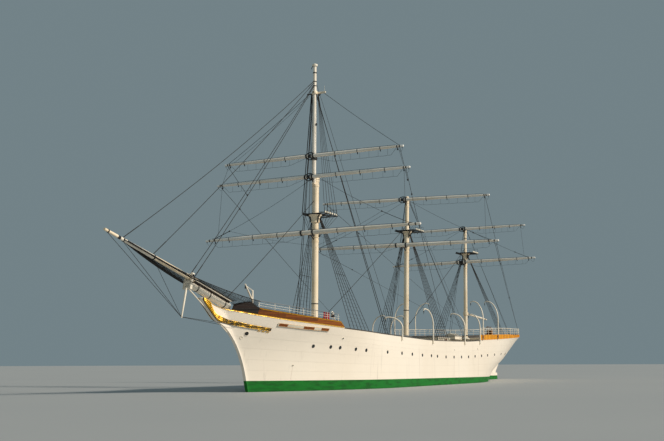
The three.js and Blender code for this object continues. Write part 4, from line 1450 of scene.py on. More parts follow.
def makeCrosstrees():
    # collar round the topmast, with an arm to each side
    shape = Shape()
    z, end = crosstrees["height"], crosstrees["arm"]
    x = spineX("fore", z)
    ringWall(shape, (x, 0, z), [(-20, 20.6), (-20, 27), (-17, 29), (9, 29), (12, 27), (12, 20.6)], "shadeWarmCream")
    arm = x - topmast["ahead"]
    # the port arm and its end cap are white and the starboard ones black: one paint, in painted light to port
    # and painted shade to starboard
    shape.block((arm, 54, z + 1), (16, 100, 20), "white", 2)
    shape.block((arm, -54, z), (14, 100, 12), "black", 2)
    shape.block((arm, 0, z), (13, 16, 9), "black", 2)
    shape.block((x - 71, 0, z + 0.5), (88, 14, 9), "black", 2)
    shape.block((x + 24, 0, z - 1), (12, 20, 14), "black", 2)
    for s, look in ((1, "white"), (-1, "black")):
        brace = [(arm + 16, s * 20, z - 74), (arm + 8, s * 25, z - 40), (arm, s * 50, z - 8)]
        shape.tube(brace, 3.4, "black", 8)
        shape.ring((arm, s * end, z - 9), (1, 0, 0), 4, 1.4, "iron", 12, 6)
        shape.lathe((arm, s * (end + 1), z - 5), (0, 0, 1), [(-2, 8), (12, 8)], look, 14)
    shape.tube([(arm, end - 6, z + 4), (arm, end - 6, z + 70)], [1.4, 0.8], "white", 6)
    setOut(shape, "crosstree_arms", "root", ["fore_crosstrees"])


makeCrosstrees()
print("tops done")


# standing rigging

def sagged(start, end, sag, count=10):
    start, end = Vector(start), Vector(end)
    return [start.lerp(end, t) - lifted(4 * sag * t * (1 - t)) for t in run(0, 1, count)]


# Radii of the ropes, and how far apart the ratlines are
rope = {
    "stay": 2.6, "served": 3.6, "shroud": 2.4, "ratline": 0.9, "ratEvery": 38, "topShroud": 1.8,
    "pendant": 2.2, "lift": 1.5, "liftPart": 2.4, "fall": 1.1, "sheet": 1.3, "guy": 1.8,
}
# Main stays: from, to and sag
stays = {
    "fore_stay": ((2256, 0, 1838), (3832, 0, 768), 12),
    "fore_topmast_stay_port": ((2255.5, 6, 3022), (4326, 30, 912), 36),
    "fore_topmast_stay_starboard": ((2255.5, -6, 3022), (4326, -30, 912), 36),
    "jib_stay": ((2255.5, 0, 3050), (4804, 0, 1064), 36),
    "fore_topgallant_stay": ((2255, 0, 3068), (5160, 0, 1150), 48),
    "main_stay": ((-92, 0, 1872), (2202, 0, 616), 12),
    "mizzen_stay": ((-2180, 0, 1806), (-89, 0, 670), 12),
}


def makeStays():
    shape = Shape()
    for start, end, sag in stays.values():
        shape.tube(sagged(start, end, sag, 16), rope["stay"], "wire", 8)
        # served thick at both ends
        points = sagged(start, end, sag, 50)
        for served in (points[:3], points[47:]):
            shape.tube(served, rope["served"], "wire", 8)
    setOut(shape, "main_stays", "root", list(stays))


# Shroud gangs: height of the hounds, first and last foot aft of the mast, how many, inboard of the plating
shrouds = {
    "fore": {"top": 1690, "feet": (100, 580), "count": 6, "inboard": 200},
    "main": {"top": 1800, "feet": (10, 410), "count": 6, "inboard": 155},
    "mizzen": {"top": 1735, "feet": (10, 330), "count": 5, "inboard": 60},
}
# Shares of a shroud's length: its screws, the sheer pole, its first and last ratline, the batten
shroudParts = {"screws": (0.0, 0.055), "screw": 0.035, "wireFrom": 0.09, "pole": 0.105,
               "rats": (0.12, 0.93), "batten": 0.55}
screwRadii = [1.5, 3.2, 3.2, 1.5]


def shroudLines(mast, side):
    own = shrouds[mast]
    lines = []
    for back in run(*own["feet"], own["count"] - 1):
        base = masts[mast]["deck"](mastX(mast, 500) - back)
        x = mastX(mast, base) - back
        edge = hullBreadth(x, sheerAt(x)) - own["inboard"]
        foot = Vector((x, side * edge, base + 2))
        top = mastPoint(mast, own["top"], side * (mastRadius(mast, own["top"]) + 2), -back * 0.05)
        lines.append((foot, top))
    return lines


def makeShrouds(mast):
    # a gang to each side
    shape = Shape()
    own = shroudParts
    for side in (1, -1):
        lines = shroudLines(mast, side)
        for foot, top in lines:
            shape.tube([foot.lerp(top, own["wireFrom"]), top], rope["shroud"])
            for share in own["screws"]:
                start, end = foot.lerp(top, share), foot.lerp(top, share + own["screw"])
                shape.tube([start, start.lerp(end, 0.3), start.lerp(end, 0.7), end], screwRadii, "iron", 8)
            shape.tube([foot.lerp(top, 0.03), foot.lerp(top, 0.1)], 1.4, "iron", 6)
        height = lines[0][1].z - lines[0][0].z
        low, high = own["rats"]
        steps = int(height * (high - low) / rope["ratEvery"])
        for k in range(steps):
            share = low + (high - low) * k / steps
            shape.tube([foot.lerp(top, share) for foot, top in lines], rope["ratline"], "wire", 4)
        outer = (lines[0], lines[-1])
        shape.tube([foot.lerp(top, own["pole"]) for foot, top in outer], 2.2, "iron", 6)
        if mast == "fore":
            shape.tube([foot.lerp(top, own["batten"]) for foot, top in outer], 2.4)
    setOut(shape, mast + "_shrouds", "root")


# Backstays: mast, height and y there, foot aft of the mast, radius
backstays = [
    ("fore", 2940, 20, 520, 3.0), ("fore", 2925, 20, 575, 3.0), ("fore", 3068, 12, 760, 1.6),
    ("main", 2205, 20, 560, 1.9), ("main", 2190, 20, 620, 1.9), ("main", 2215, 20, 780, 1.3),
    ("mizzen", 2085, 17, 480, 1.8), ("mizzen", 2075, 17, 540, 1.6),
]


def addTopmastShrouds(shape):
    # down to the rim of the fore top, and on to the mast; the thick one stands for several ropes
    mast, z, half, _, aft = tops["fore_top"]
    for side in (1, -1):
        for k, a in enumerate(run(45, -aft + 12, 4)):
            rim = Vector((mastX(mast, z) + a, side * (half - 4), z + 4))
            head = mastPoint(mast, 2940, side * 37, -3 * k)
            shape.tube([rim, head], 4.2 if side < 0 and k == 0 else rope["topShroud"])
            shape.tube([rim, rim.lerp(head, 0.03)], 3, "iron", 6)
            low = mastPoint(mast, 1480, side * 34, -4 * k)
            shape.tube([rim - lifted(16), low], rope["topShroud"])


def makeBackstays():
    shape = Shape()
    for mast, z, y, back, radius in backstays:
        for side in (1, -1):
            x = mastX(mast, z) - back
            base = masts[mast]["deck"](x)
            foot = Vector((x, side * (hullBreadth(x, sheerAt(x)) - 44), base + 2))
            head = mastPoint(mast, z, side * y)
            shape.tube([foot.lerp(head, 0.05), head], radius)
            shape.tube([foot, foot.lerp(head, 0.015), foot.lerp(head, 0.035), foot.lerp(head, 0.05)],
                       [1.6, 3.6, 3.6, 1.6], "iron", 8)
    addTopmastShrouds(shape)
    setOut(shape, "backstays", "root")


makeStays()
for mast in masts:
    makeShrouds(mast)
makeBackstays()
print("standing rigging done")


# running rigging; the upper topsail gear, its lifts and the sheets ride on their yards

def tied(shape, name, body):
    # rope made as a loose piece, its placing baked into its mesh. The body is not used.
    piece = shape.make(name)
    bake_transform(piece)


def tackle(shape, place, way, size=7):
    rows = [(0, size * 0.5), (size * 0.6, size), (size * 2, size), (size * 2.6, size * 0.5)]
    shape.lathe(place - way * size * 1.3, way, rows, "black", 12)


# Lifts of the lower yards: height at the mast, sag, where their blocks hang
lifts = {
    "fore_yard": {"head": 2080, "sag": 30, "port": 0.70, "starboard": 0.84},
    "main_yard": {"head": 2190, "sag": 24, "port": 0.80, "starboard": 0.80},
    "crossjack_yard": {"head": 2100, "sag": 20, "port": 0.80, "starboard": 0.80},
}


def makeLift(name, word, side):
    own = lifts[name]
    mast, _, half, _, tip, *_ = yards[name]
    shape = Shape()
    start = mastPoint(mast, own["head"], side * (mastRadius(mast, own["head"]) + 3))
    end = yardPoint(name, side * (half - 100), 0, tip + 3)
    route = sagged(start, end, own["sag"], 50)
    split = round(own[word] * 50)
    way = (end - start).normalized()
    shape.tube(route[:split + 1:2], rope["lift"])
    for spread in (-3.5, 3.5):
        shape.tube([point + Vector((spread, 0, 0)) for point in route[split:]], rope["liftPart"])
    tackle(shape, route[split], way)
    tackle(shape, route[-1], way, 6)
    if name == "fore_yard":
        # its slack fall, led back to the mast below the yard
        fall = sagged(route[split], mastPoint(mast, 1400, side * 36, 6), 16, 12)
        shape.tube(fall, rope["fall"], "wire", 5)
    tied(shape, f"{name}_lift_{word}", name)


# Braces: inboard of the tip, the block's place from there or its share, the foot's x and its height
braces = {
    "fore_lower_topsail_yard": {"inboard": 41, "pendant": (-276, -61, -195), "rail": 100, "above": 6},
    "main_yard": {"inboard": 50, "share": 0.2, "rail": -3450, "above": 84},
    "main_topsail_yard": {"inboard": 55, "share": 0.19, "rail": -3450, "above": 84},
}


def pendant(shape, start, block):
    shape.tube([start, block], rope["pendant"])
    tackle(shape, block, (block - start).normalized(), 7.5)


def makeBrace(name, word, side):
    own = braces[name]
    _, _, half, _, tip, *_ = yards[name]
    shape = Shape()
    start = yardPoint(name, side * (half - own["inboard"]), 0, -tip - 4)
    edge = onSide(side, own["rail"], sheerAt(own["rail"]), -14)
    foot = Vector((edge.x, edge.y, sheerAt(own["rail"]) + own["above"]))
    if "pendant" in own:
        ahead, inward, down = own["pendant"]
        block = start + Vector((ahead, side * inward, down))
    else:
        block = start.lerp(foot, own["share"])
    pendant(shape, start, block)
    fall = sagged(block, foot, 14, 16)
    for spread in (0, 9):
        part = [point + Vector((spread * (1 - k / 16), 0, 0)) for k, point in enumerate(fall)]
        shape.tube(part, rope["fall"], "wire", 5)
    if name == "main_yard":
        tackle(shape, fall[7], (foot - block).normalized(), 6)
    tied(shape, f"{name}_brace_{word}", name)


def inboard(name, side, distance, up):
    # place above or below a yard, so far inboard of its tip
    return yardPoint(name, side * (yards[name][2] - distance), 0, up)


def makeTopsailGear():
    # pendants and sheets that ride the upper topsail yard
    upper, lower = "fore_upper_topsail_yard", "fore_lower_topsail_yard"
    shape = Shape()
    for side in (1, -1):
        arm = inboard(upper, side, 37, -14)
        pendant(shape, arm, arm + Vector((-298, -51 * side, -257)))
        shape.tube([inboard(upper, side, 52, -12), inboard(lower, side, 70, 30)], 1.4, "wire", 5)
    setOut(shape, "upper_topsail_gear", upper)


def makeTopsailLifts():
    # lifts of the upper topsail yard, which ride on it with a mesh of their own
    upper = "fore_upper_topsail_yard"
    shape = Shape()
    x = mastX("fore", crosstrees["height"])
    for side in (1, -1):
        head = Vector((x, side * crosstrees["arm"], 2940))
        arm = inboard(upper, side, 46, 12)
        shape.tube(sagged(head, arm, 10, 14), 2.0)
        if side < 0:
            shape.tube(sagged(head + Vector((0, 30, 0)), arm + Vector((0, 60, 0)), 16, 14), 1.2, "wire", 5)
    piece = setOut(shape, "upper_topsail_lifts", upper)
    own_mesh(piece)


def makeSheets(above, below):
    # down to the yard below; they ride the upper one
    shape = Shape()
    for side in (1, -1):
        shape.tube([inboard(above, side, 62, -12), inboard(below, side, 150, 40)], rope["sheet"], "wire", 5)
    setOut(shape, above + "_sheets", above)


for word, side in sideOf.items():
    for name in lifts:
        makeLift(name, word, side)
    for name in braces:
        makeBrace(name, word, side)
makeTopsailGear()
makeTopsailLifts()
makeSheets("fore_lower_topsail_yard", "fore_yard")
makeSheets("main_topsail_yard", "main_yard")
makeSheets("mizzen_topsail_yard", "crossjack_yard")
print("running rigging done")


# bowsprit, jib boom and beak

sprit = {
    "heel": (3785, 718), "slope": 0.27, "cap": 4350, "jibHeel": (4225, 890.5), "jibTip": (5368, 1186),
    "martingale": ((4378, 0, 832), (4434, 0, 597)), "stays": (4804, 5160, 5330),
}
sprit["jibSlope"] = (sprit["jibTip"][1] - sprit["jibHeel"][1]) / (sprit["jibTip"][0] - sprit["jibHeel"][0])


def bowspritAt(x, y=0, up=0):
    return Vector((x, y, sprit["heel"][1] + (x - sprit["heel"][0]) * sprit["slope"] + up))


def jibAt(x, y=0, up=0):
    return Vector((x, y, sprit["jibHeel"][1] + (x - sprit["jibHeel"][0]) * sprit["jibSlope"] + up))


def makeBowsprit():
    shape = Shape()
    way = Vector((1, 0, sprit["slope"])).normalized()
    tilt = Matrix.Rotation(-radians(15.1), 3, "Y")
    heel = bowspritAt(sprit["heel"][0])
    length = (bowspritAt(sprit["cap"] + 14) - heel).length
    shape.lathe(heel, way, [(0, 32), (length * 0.5, 31), (length - 3, 29.5), (length, 27)], "white", 28)
    for x in (3860, 4080, 4250):
        r = 33.5 - 2.2 * (x - heel.x) / 570
        shape.lathe(bowspritAt(x), way, [(-6, r), (6, r)], "black", 28)
    # cap round the bowsprit and the jib boom
    cap = bowspritAt(sprit["cap"], 0, 20)
    for up, tall in ((-58, 20), (-10, 12), (46, 24)):
        shape.block(cap + tilt @ lifted(up), (26, 78, tall), "white", 2, tilt)
    for s in (1, -1):
        shape.block(cap + tilt @ Vector((0, s * 29.5, 10)), (26, 19, 116), "white", 2, tilt)
    # walkway rails, with dark boards between them and the spar: a sheet of painted shade in the shaded gap
    # there
    for s in (1, -1):
        web = [(24, 19), (46, 33), (46, 31), (25, 16)]
        shape.skin([[bowspritAt(x, s * y, up) for y, up in web] for x in (3810, 4325)], "paintedShadeWood")
        rail = [bowspritAt(x, s * 46, 36) for x in run(3800, 4330, 8)]
        shape.tube(rail, 5, "white", 8)
        for x in run(3810, 4310, 6):
            shape.tube([bowspritAt(x, s * 24, 18), bowspritAt(x, s * 46, 36)], 3, "white", 6)
    setOut(shape, "bowsprit_spar", "root", ["bowsprit"])


# Finish of the jib boom from the tip inwards: where a stretch ends, its look
jibStretches = [(5368, "shadeWarmCream"), (5226, "black"), (5196, "white"), (4800, "shadeWarmCream"), (4225, "shadeWarmCream")]


def makeJibBoom():
    shape = Shape()
    way = Vector((1, 0, sprit["jibSlope"])).normalized()
    start = jibAt(sprit["jibHeel"][0])
    length = (jibAt(sprit["jibTip"][0]) - start).length
    radii = [(length * k / 4, r) for k, r in enumerate((19, 19, 17, 14, 10))]
    stops = [x for x, _ in jibStretches][::-1]
    looks = [look for _, look in jibStretches][::-1][1:]
    for (a, b), look in zip(zip(stops, stops[1:]), looks):
        ends = [(x - sprit["jibHeel"][0]) * way.length / way.x for x in run(a, b, 4)]
        shape.lathe(start, way, [(h, straight(radii, h)) for h in ends], look, 24)
    for x in (4300,) + sprit["stays"]:
        h = (x - sprit["jibHeel"][0]) / way.x
        r = straight(radii, h) + 2.5
        shape.lathe(start, way, [(h - 5, r), (h + 5, r)], "black", 24)
    setOut(shape, "jib_boom_spar", "root", ["jib_boom"])


def makeHeadRigging():
    shape = Shape()
    top, foot = [Vector(p) for p in sprit["martingale"]]
    way = foot - top
    shape.lathe(top, way, [(0, 9), (way.length * 0.5, 8), (way.length - 4, 6), (way.length, 4)], "white", 16)
    setOut(shape, "martingale_spar", "root", ["martingale"])
    wires = Shape()
    # bobstay, martingale stays and guys
    stemFoot = Vector((along(stemLine, 505), 0, 505))
    wires.tube([bowspritAt(4362, 0, -34), stemFoot + Vector((12, 0, 0))], 5, "white", 8)
    for x in sprit["stays"]:
        wires.tube([jibAt(x, 0, -14), foot + lifted(6)], rope["guy"])
    for side in (1, -1):
        wires.tube([foot + Vector((0, side * 5, 8)), onSide(side, 3700, 560, 4)], rope["guy"])
        middle = sagged(jibAt(4800, side * 18, 0), onSide(side, 3570, 700, 2), 10, 12)
        wires.tube(middle, 1.6)
    setOut(wires, "head_rigging", "root")


# guy: where it leaves the boom, its end on the rail and height over the sheer, and its sag
netLook = {
    "cord": {1: 1.4, -1: 2.4}, "cells": 84, "across": 9, "sag": 30, "from": 5130, "to": 3590,
    "boomFrom": 4330, "spritFrom": 3800, "guy": (5170, 3560, 118, 46),
}


def makeNets():
    # netting from the boom and bowsprit out to the guys, and aft to the rail
    shape = Shape()
    guyStart, guyEnd, lift, guySag = netLook["guy"]
    for side in (1, -1):
        fast = onSide(side, guyEnd, sheerAt(guyEnd), 0) + lifted(lift)
        guy = sagged(jibAt(guyStart, side * 14, 0), fast, guySag, 80)
        grid = []
        for x in run(netLook["from"], netLook["to"], netLook["cells"]):
            if x > netLook["boomFrom"]:
                inner = jibAt(x, side * 18, 4)
            elif x > netLook["spritFrom"]:
                inner = bowspritAt(x, side * 48, 42)
            else:
                inner = onSide(side, x, sheerAt(x), -6) + lifted(bandTop("forecastle", x) + 2)
            outer = guy[round((guyStart - x) / (guyStart - guyEnd) * 80)]
            drop = netLook["sag"] * min(1, (outer - inner).length / 160)
            grid.append(sagged(inner, outer, drop, netLook["across"]))
        for before, after in zip(grid, grid[1:]):
            for k in range(netLook["across"]):
                shape.tube([before[k], after[k + 1]], netLook["cord"][side], "wire", 3)
                shape.tube([before[k + 1], after[k]], netLook["cord"][side], "wire", 3)
        shape.tube(guy, 3.0)
        shape.tube([line[0] for line in grid], 2, "wire", 5)
    setOut(shape, "head_nets", "root")


makeBowsprit()
makeJibBoom()
makeHeadRigging()
makeNets()


# carved boards

# Trail board and name board: x, lower edge, upper edge
trailLine = [
    (3423, 516, 542), (3572, 535, 564), (3652, 547, 578), (3718, 558, 593), (3812, 572, 609),
    (3955, 592, 638), (4000, 619, 652), (4035, 643, 684), (4062, 664, 716), (4088, 683, 746),
    (4130, 716, 760), (4172, 756, 769),
]
nameLine = [(2838, 527, 553), (3124, 541, 567), (3380, 562, 588)]
boards = {"off": 5, "face": 10, "panels": ((2846, 2934), (3014, 3128), (3291, 3372))}
carving = {
    "bend": 66, "stem": 1.7, "first": 3440, "last": 3970, "leaves": (3905, 4166, 4171),
    "curls": ((3440, 505), (3478, 509), (3516, 514)),
    "lines": ((3800, 4174, 26, 4, 1.5, 2.4), (2650, 3800, 40, 3, 1.2, 1.9)),
}


def boardPoint(line, side, x, share, out):
    low, high = along(line, x, 1), along(line, x, 2)
    return onSide(side, x, low + (high - low) * share, out)


def plank(shape, line, side, stations, look):
    off, face = boards["off"], boards["face"]
    section = ((0, off), (0, face - 1), (0.05, face), (0.95, face), (1, face - 1), (1, off))
    shape.skin([[boardPoint(line, side, x, share, out) for share, out in section] for x in stations], look)


def onTrail(side, x, share, out=1.0):
    return boardPoint(trailLine, side, x, share, boards["face"] + out)


def scroll(shape, side):
    # waving stem, with a curl and leaves in each bend
    first, last, bend = carving["first"], carving["last"], carving["bend"]
    stem = [onTrail(side, x, 0.5 + 0.3 * sin(pi * (x - first) / bend)) for x in run(first, last, 110)]
    shape.tube(stem, carving["stem"], "gold", 6)
    shares = run(0, 1, 16)
    for k in range(int((last - first) / bend)):
        x = first + (k + 0.5) * bend
        up = 1 if k % 2 == 0 else -1
        tall = along(trailLine, x, 2) - along(trailLine, x, 1)
        curl = []
        for t in shares:
            turn = 3.4 * pi * t
            reach = tall * 0.36 * (1 - 0.8 * t)
            share = 0.5 - up * 0.12 + reach * sin(turn) * up / tall
            curl.append(onTrail(side, x + reach * cos(turn), share, 1 + t))
        shape.tube(curl, [1.6 * (1 - 0.35 * t) for t in shares], "gold", 6)
        for lean in (-1, 1):
            leaf = [(x + lean * (10 + 14 * t), 0.5 - up * (0.42 - 0.25 * t * t)) for t in run(0, 1, 5)]
            shape.tube([onTrail(side, *place) for place in leaf], [0.6, 1.6, 2.0, 1.6, 1.0, 0.4], "gold", 6)


def acanthus(shape, side):
    # close-set leaves up the beak
    start, end, last = carving["leaves"]
    for k, x in enumerate(run(start, end, 20)):
        low, high = onTrail(side, x, 0.04), onTrail(side, min(x + 14, last), 0.98)
        way = high - low
        out = outOf(side, x, low.z)
        for lean in (0.0, 0.33, 0.66):
            root = low + way * lean
            tip = root + way * 0.42 + out * 3
            middle = root.lerp(tip, 0.5) + out * (3.5 - k * 0.05)
            shape.tube([root, middle, tip], [2.6, 4.2, 1.2], "gold", 6)


def makeTrailBoard(word, side):
    shape = Shape()
    stations = run(trailLine[0][0], trailLine[-1][0], 60)
    plank(shape, trailLine, side, stations, "black")
    for share in (0.04, 0.96):
        shape.tube([onTrail(side, x, share, 0) for x in stations], 1.2, "gold", 8)
    scroll(shape, side)
    acanthus(shape, side)
    # small curls aft of the board's end
    turns = run(0, 1, 12)
    for x, z in carving["curls"]:
        curl = [onSide(side, x + (13 - 9 * t) * cos(4 * t), z + (9 - 6 * t) * sin(4 * t), 4) for t in turns]
        shape.tube(curl, [3.0 - 1.4 * t for t in turns], "gold", 6)
    # gilt lines along the beak and below the forecastle band
    for start, end, count, down, out, radius in carving["lines"]:
        line = [onSide(side, x, sheerAt(x) - down, out) for x in run(start, end, count)]
        shape.tube(line, radius, "gold", 6)
    setOut(shape, "trail_scroll_" + word, "root", ["trail_board_" + word])


def makeNameBoard(word, side):
    shape = Shape()
    stations = run(nameLine[0][0], nameLine[-1][0], 24)
    plank(shape, nameLine, side, stations, "house")
    face = boards["face"]
    for share in (0.05, 0.95):
        shape.tube([boardPoint(nameLine, side, x, share, face) for x in stations], 1.0, "varnish", 6)
    section = ((0.12, face - 0.5), (0.12, face + 1.6), (0.88, face + 1.6), (0.88, face - 0.5))
    for start, end in boards["panels"]:
        places = run(start, end, 6)
        shape.skin([[boardPoint(nameLine, side, x, *row) for row in section] for x in places], "teak")
    setOut(shape, "name_plank_" + word, "root", ["name_board_" + word])


for word, side in sideOf.items():
    makeTrailBoard(word, side)
    makeNameBoard(word, side)
print("head done")


# davits

def smoothRoute(corners, steps):
    # smooth spline through the corners
    corners = [Vector(c) for c in corners]
    points = [corners[0]]
    for k in range(len(corners) - 1):
        before = corners[max(k - 1, 0)]
        a, b = corners[k], corners[k + 1]
        after = corners[min(k + 2, len(corners) - 1)]
        for j in range(1, steps + 1):
            t = j / steps
            points.append(0.5 * (2 * a + (b - before) * t + (2 * before - 5 * a + 4 * b - after) * t * t
                                 + (3 * a - before - 3 * b + after) * t ** 3))
    return points


def makeDavit(word, side, k):
    x, height, reach, heading = davits[k]
    shape = Shape()
    base = onSide(side, x, sheerAt(x), davitLook["outward"])
    turn = radians(heading)

    def at(out, up):
        return Vector((base.x + sin(turn) * out, base.y - side * cos(turn) * out,
                       davitFoot(x) + davitLook["gap"] + up))

    upright = height * 0.58
    corners = [at(0, 0), at(0, upright * 0.5), at(0, upright), at(reach * 0.13, height * 0.78),
               at(reach * 0.42, height * 0.94), at(reach * 0.78, height), at(reach, height * 0.985)]
    route = smoothRoute(corners, 5)
    radius = davitLook["radius"]
    radii = [radius * (1 - 0.25 * max(0, j / (len(route) - 1) - 0.4)) for j in range(len(route))]
    shape.tube(route, radii, "white", 16)
    for up in (30, upright * 0.45):
        shape.lathe(at(0, up), (0, 0, 1), [(-4, radius + 2), (4, radius + 2)], "white", 20)
    # eye, block and hook at its head
    tip = route[-1]
    shape.ring(tip - lifted(9), (cos(turn), sin(turn), 0), 6, 2, "white", 14, 6)
    shape.block(tip - lifted(26), (10, 8, 20), "black", 3)
    hook = [tip - Vector(drop) for drop in ((0, 0, 36), (0, 0, 46), (-5, 0, 52), (-8, 0, 46))]
    shape.tube(hook, 1.5, "iron", 6)
    body = f"davit_{word}_{k + 1}"
    setOut(shape, f"davit_arm_{word}_{k + 1}", body, [body])


for word, side in sideOf.items():
    for k in range(len(davits)):
        makeDavit(word, side, k)
print("davits done")


# deck houses, hatches and gear

# Deck pieces: x, length, width, height, deck
deckPieces = {
    "fore_deckhouse": (1580, 420, 380, 150, deckAt), "fore_hatch": (1180, 220, 220, 45, deckAt),
    "midship_deckhouse": (640, 640, 460, 165, deckAt), "main_hatch": (-330, 260, 240, 45, deckAt),
    "aft_deckhouse": (-750, 420, 440, 165, deckAt), "poop_skylight": (-1640, 260, 160, 80, sheerAt),
}


def standing(name):
    x, length, width, height, deck = deckPieces[name]
    low = 1.2 + max(deck(x + end * length) for end in (-0.5, 0, 0.5))
    return x, length, width, height, low


def addDoor(shape, at, wall, s, low, height):
    shape.block((at, wall + s * 1.5, low + height * 0.48), (42, 4, height * 0.74), "teak", 1.5)
    shape.block((at, wall + s * 3, low + height * 0.68), (22, 2.5, 30), "glass", 1)
    knob = (at + 15, wall + s * 3, low + height * 0.45)
    shape.lathe(knob, (0, s, 0), [(0, 1.2), (3, 1.2), (4, 2.4), (6, 2)], "brass", 10)


def addWindow(shape, end, y, z, s):
    # square window in an end wall, in a frame of four boards
    shape.block((end + s * 1.5, y, z), (4, 40, 40), "glass", 1)
    for dy, dz, wide, tall in ((0, 22, 48, 5), (0, -22, 48, 5), (22, 0, 5, 48), (-22, 0, 5, 48)):
        shape.block((end + s * 2, y + dy, z + dz), (5, wide, tall), "teak", 1)


def makeHouse(name):
    x, length, width, height, low = standing(name)
    shape = Shape()
    shape.block((x, 0, low + height / 2 - 5), (length - 8, width - 8, height - 10), "house", 3)
    shape.block((x, 0, low + 5), (length, width, 10), "grey", 2)
    shape.block((x, 0, low + height - 5), (length, width, 10), "grey", 2.5)
    count = round(length / 110)
    for s in (1, -1):
        wall = s * (width / 2 - 4)
        for k in range(count):
            at = x - length / 2 + length * (k + 0.5) / count
            if k % 3 == 1:
                addDoor(shape, at, wall, s, low, height)
            else:
                centre = Vector((at, wall, low + height * 0.58))
                shape.lathe(centre, (0, s, 0), [(0, 14), (1.5, 14), (1.6, 13)], "glass", 20)
                shape.ring(centre + Vector((0, s * 1.2, 0)), (0, 1, 0), 14.5, 2.2, "brass", 20, 6)
        rail = [(x + a * (length / 2 - 20), s * (width / 2 + 1), low + height * 0.86) for a in (-1, 1)]
        shape.tube(rail, 1.6, "white", 6)
    for s in (1, -1):
        for y in (-width / 4, width / 4):
            addWindow(shape, x + s * (length / 2 - 4), y, low + height * 0.6, s)
    # skylight on the roof
    shape.block((x, 0, low + height), (length * 0.3, width * 0.3, 7), "white", 1)
    for end in (-1, 1):
        for y in (-1, 1):
            pane = (x + end * length * 0.07, y * width * 0.07, low + height + 3.6)
            shape.block(pane, (length * 0.11, width * 0.11, 1.2), "glass", 0.4)
    setOut(shape, name + "_walls", "root", [name])


def makeHatch(name):
    x, length, width, height, low = standing(name)
    shape = Shape()
    shape.block((x, 0, low + height / 2 - 4), (length - 6, width - 6, height - 8), "white", 2)
    shape.block((x, 0, low + height - 7), (length, width, 4), "grey", 1)
    shape.block((x, 0, low + height - 3), (length - 14, width - 14, 6), "canvas", 2)
    for s in (1, -1):
        for at in run(x - length / 2 + 20, x + length / 2 - 20, 4):
            shape.block((at, s * (width / 2 - 1), low + height - 12), (7, 2, 12), "iron", 0.6)
        shape.block((x, s * (width / 2 - 0.9), low + height - 14), (length - 16, 1.8, 5), "hatchWood", 0.6)
    for at in (x - length * 0.25, x, x + length * 0.25):
        shape.block((at, 0, low + height + 0.4), (9, width - 12, 2.4), "hatchWood", 0.5)
    setOut(shape, name + "_cover", "root", [name])


def makeSkylight():
    # two glazed slopes on a white coaming
    x, length, width, height, low = standing("poop_skylight")
    shape = Shape()
    shape.block((x, 0, low + height * 0.25), (length - 6, width - 6, height * 0.5), "white", 2)
    shape.block((x, 0, low + height * 0.52), (length, width, 5), "grey", 1.5)
    foot, ridge = low + height * 0.55, low + height - 3
    half, edge = length / 2 - 4, width / 2 - 4
    for s in (1, -1):
        slope = [(x - half, s * edge, foot), (x + half, s * edge, foot), (x + half, s * 2, ridge),
                 (x - half, s * 2, ridge)]
        shape.plate(slope, (0, 0, -3), "glass")
        for at in run(x - half + 2, x + half - 2, 5):
            shape.tube([(at, s * edge, foot + 2), (at, s * 2, ridge + 1.5)], 2.4, "white", 6)
        for share, radius, look in ((0.0, 2.2, "white"), (0.5, 1, "brass"), (1.0, 2.2, "white")):
            y = s * (edge - (edge - 2) * share)
            z = foot + (ridge - foot) * share + 1.5
            shape.tube([(x - half, y, z), (x + half, y, z)], radius, look, 6)
        end = x + s * (half - 1)
        middle = low + height * 0.5
        gable = [(end, -edge, middle), (end, edge, middle), (end, 2, ridge), (end, -2, ridge)]
        shape.plate(gable, (s * -3, 0, 0), "white")
    setOut(shape, "poop_skylight_frame", "root", ["poop_skylight"])


for name in ("fore_deckhouse", "midship_deckhouse", "aft_deckhouse"):
    makeHouse(name)
for name in ("fore_hatch", "main_hatch"):
    makeHatch(name)
makeSkylight()


wheel = {"x": -3130, "radius": 60, "spokes": 8, "gap": 30, "boxLength": 90}
wheel["z"] = sheerAt(wheel["x"]) + 98


def makeWheel():
    shape = Shape()
    x, z = wheel["x"], wheel["z"]
    shape.ring((x, 0, z), (1, 0, 0), wheel["radius"], 5, "teak", 40, 10)
    shape.ring((x + 4.6, 0, z), (1, 0, 0), wheel["radius"], 1.4, "brass", 40, 6)
    shape.lathe((x - 7, 0, z), (1, 0, 0), [(0, 10), (2, 13), (12, 13), (14, 9), (16, 4)], "brass", 20)
    shape.lathe((x - 60, 0, z), (1, 0, 0), [(0, 5), (56, 5)], "iron", 14)
    spoke = [(8, 2.4), (20, 3.4), (30, 2.2), (50, 3), (56, 2.4), (66, 2.2), (70, 3.2), (78, 2.4), (80, 1)]
    for k in range(wheel["spokes"]):
        t = 2 * pi * k / wheel["spokes"] + 0.2
        shape.lathe((x, 0, z), (0, cos(t), sin(t)), spoke, "teak", 10)
    setOut(shape, "wheel_rim", "steering_wheel", ["steering_wheel"])


def makeSteeringBox():
    # chest abaft the wheel, with the gear inside it
    shape = Shape()
    front, length = wheel["x"] - wheel["gap"], wheel["boxLength"]
    low = 1.2 + sheerAt(front - length)
    tall = wheel["z"] + 18 - low
    shape.block((front - length / 2, 0, low + tall / 2 - 3), (length - 6, 64, tall - 6), "teak", 3)
    shape.block((front - length / 2, 0, low + tall - 4), (length, 70, 8), "varnish", 2)
    for s in (1, -1):
        for share in (0.2, 0.8):
            corner = (front - length * share, s * 32.5, low + tall * 0.45)
            shape.block(corner, (8, 3, tall * 0.8), "varnish", 1)
    shape.ring((front - 1, 0, wheel["z"]), (1, 0, 0), 9, 2, "brass", 18, 6)
    setOut(shape, "steering_chest", "root", ["steering_box"])


# Capstan; the first rows of its barrel are black
capstan = {
    "x": 3240, "seat": 6, "whelps": 6, "holes": 8, "blackRows": 8,
    "rows": [(0.4, 38), (4, 40), (10, 40), (18, 31), (26, 28), (45, 26), (58, 29), (66, 33), (72, 44),
             (92, 44), (95, 40), (96, 10)],
}


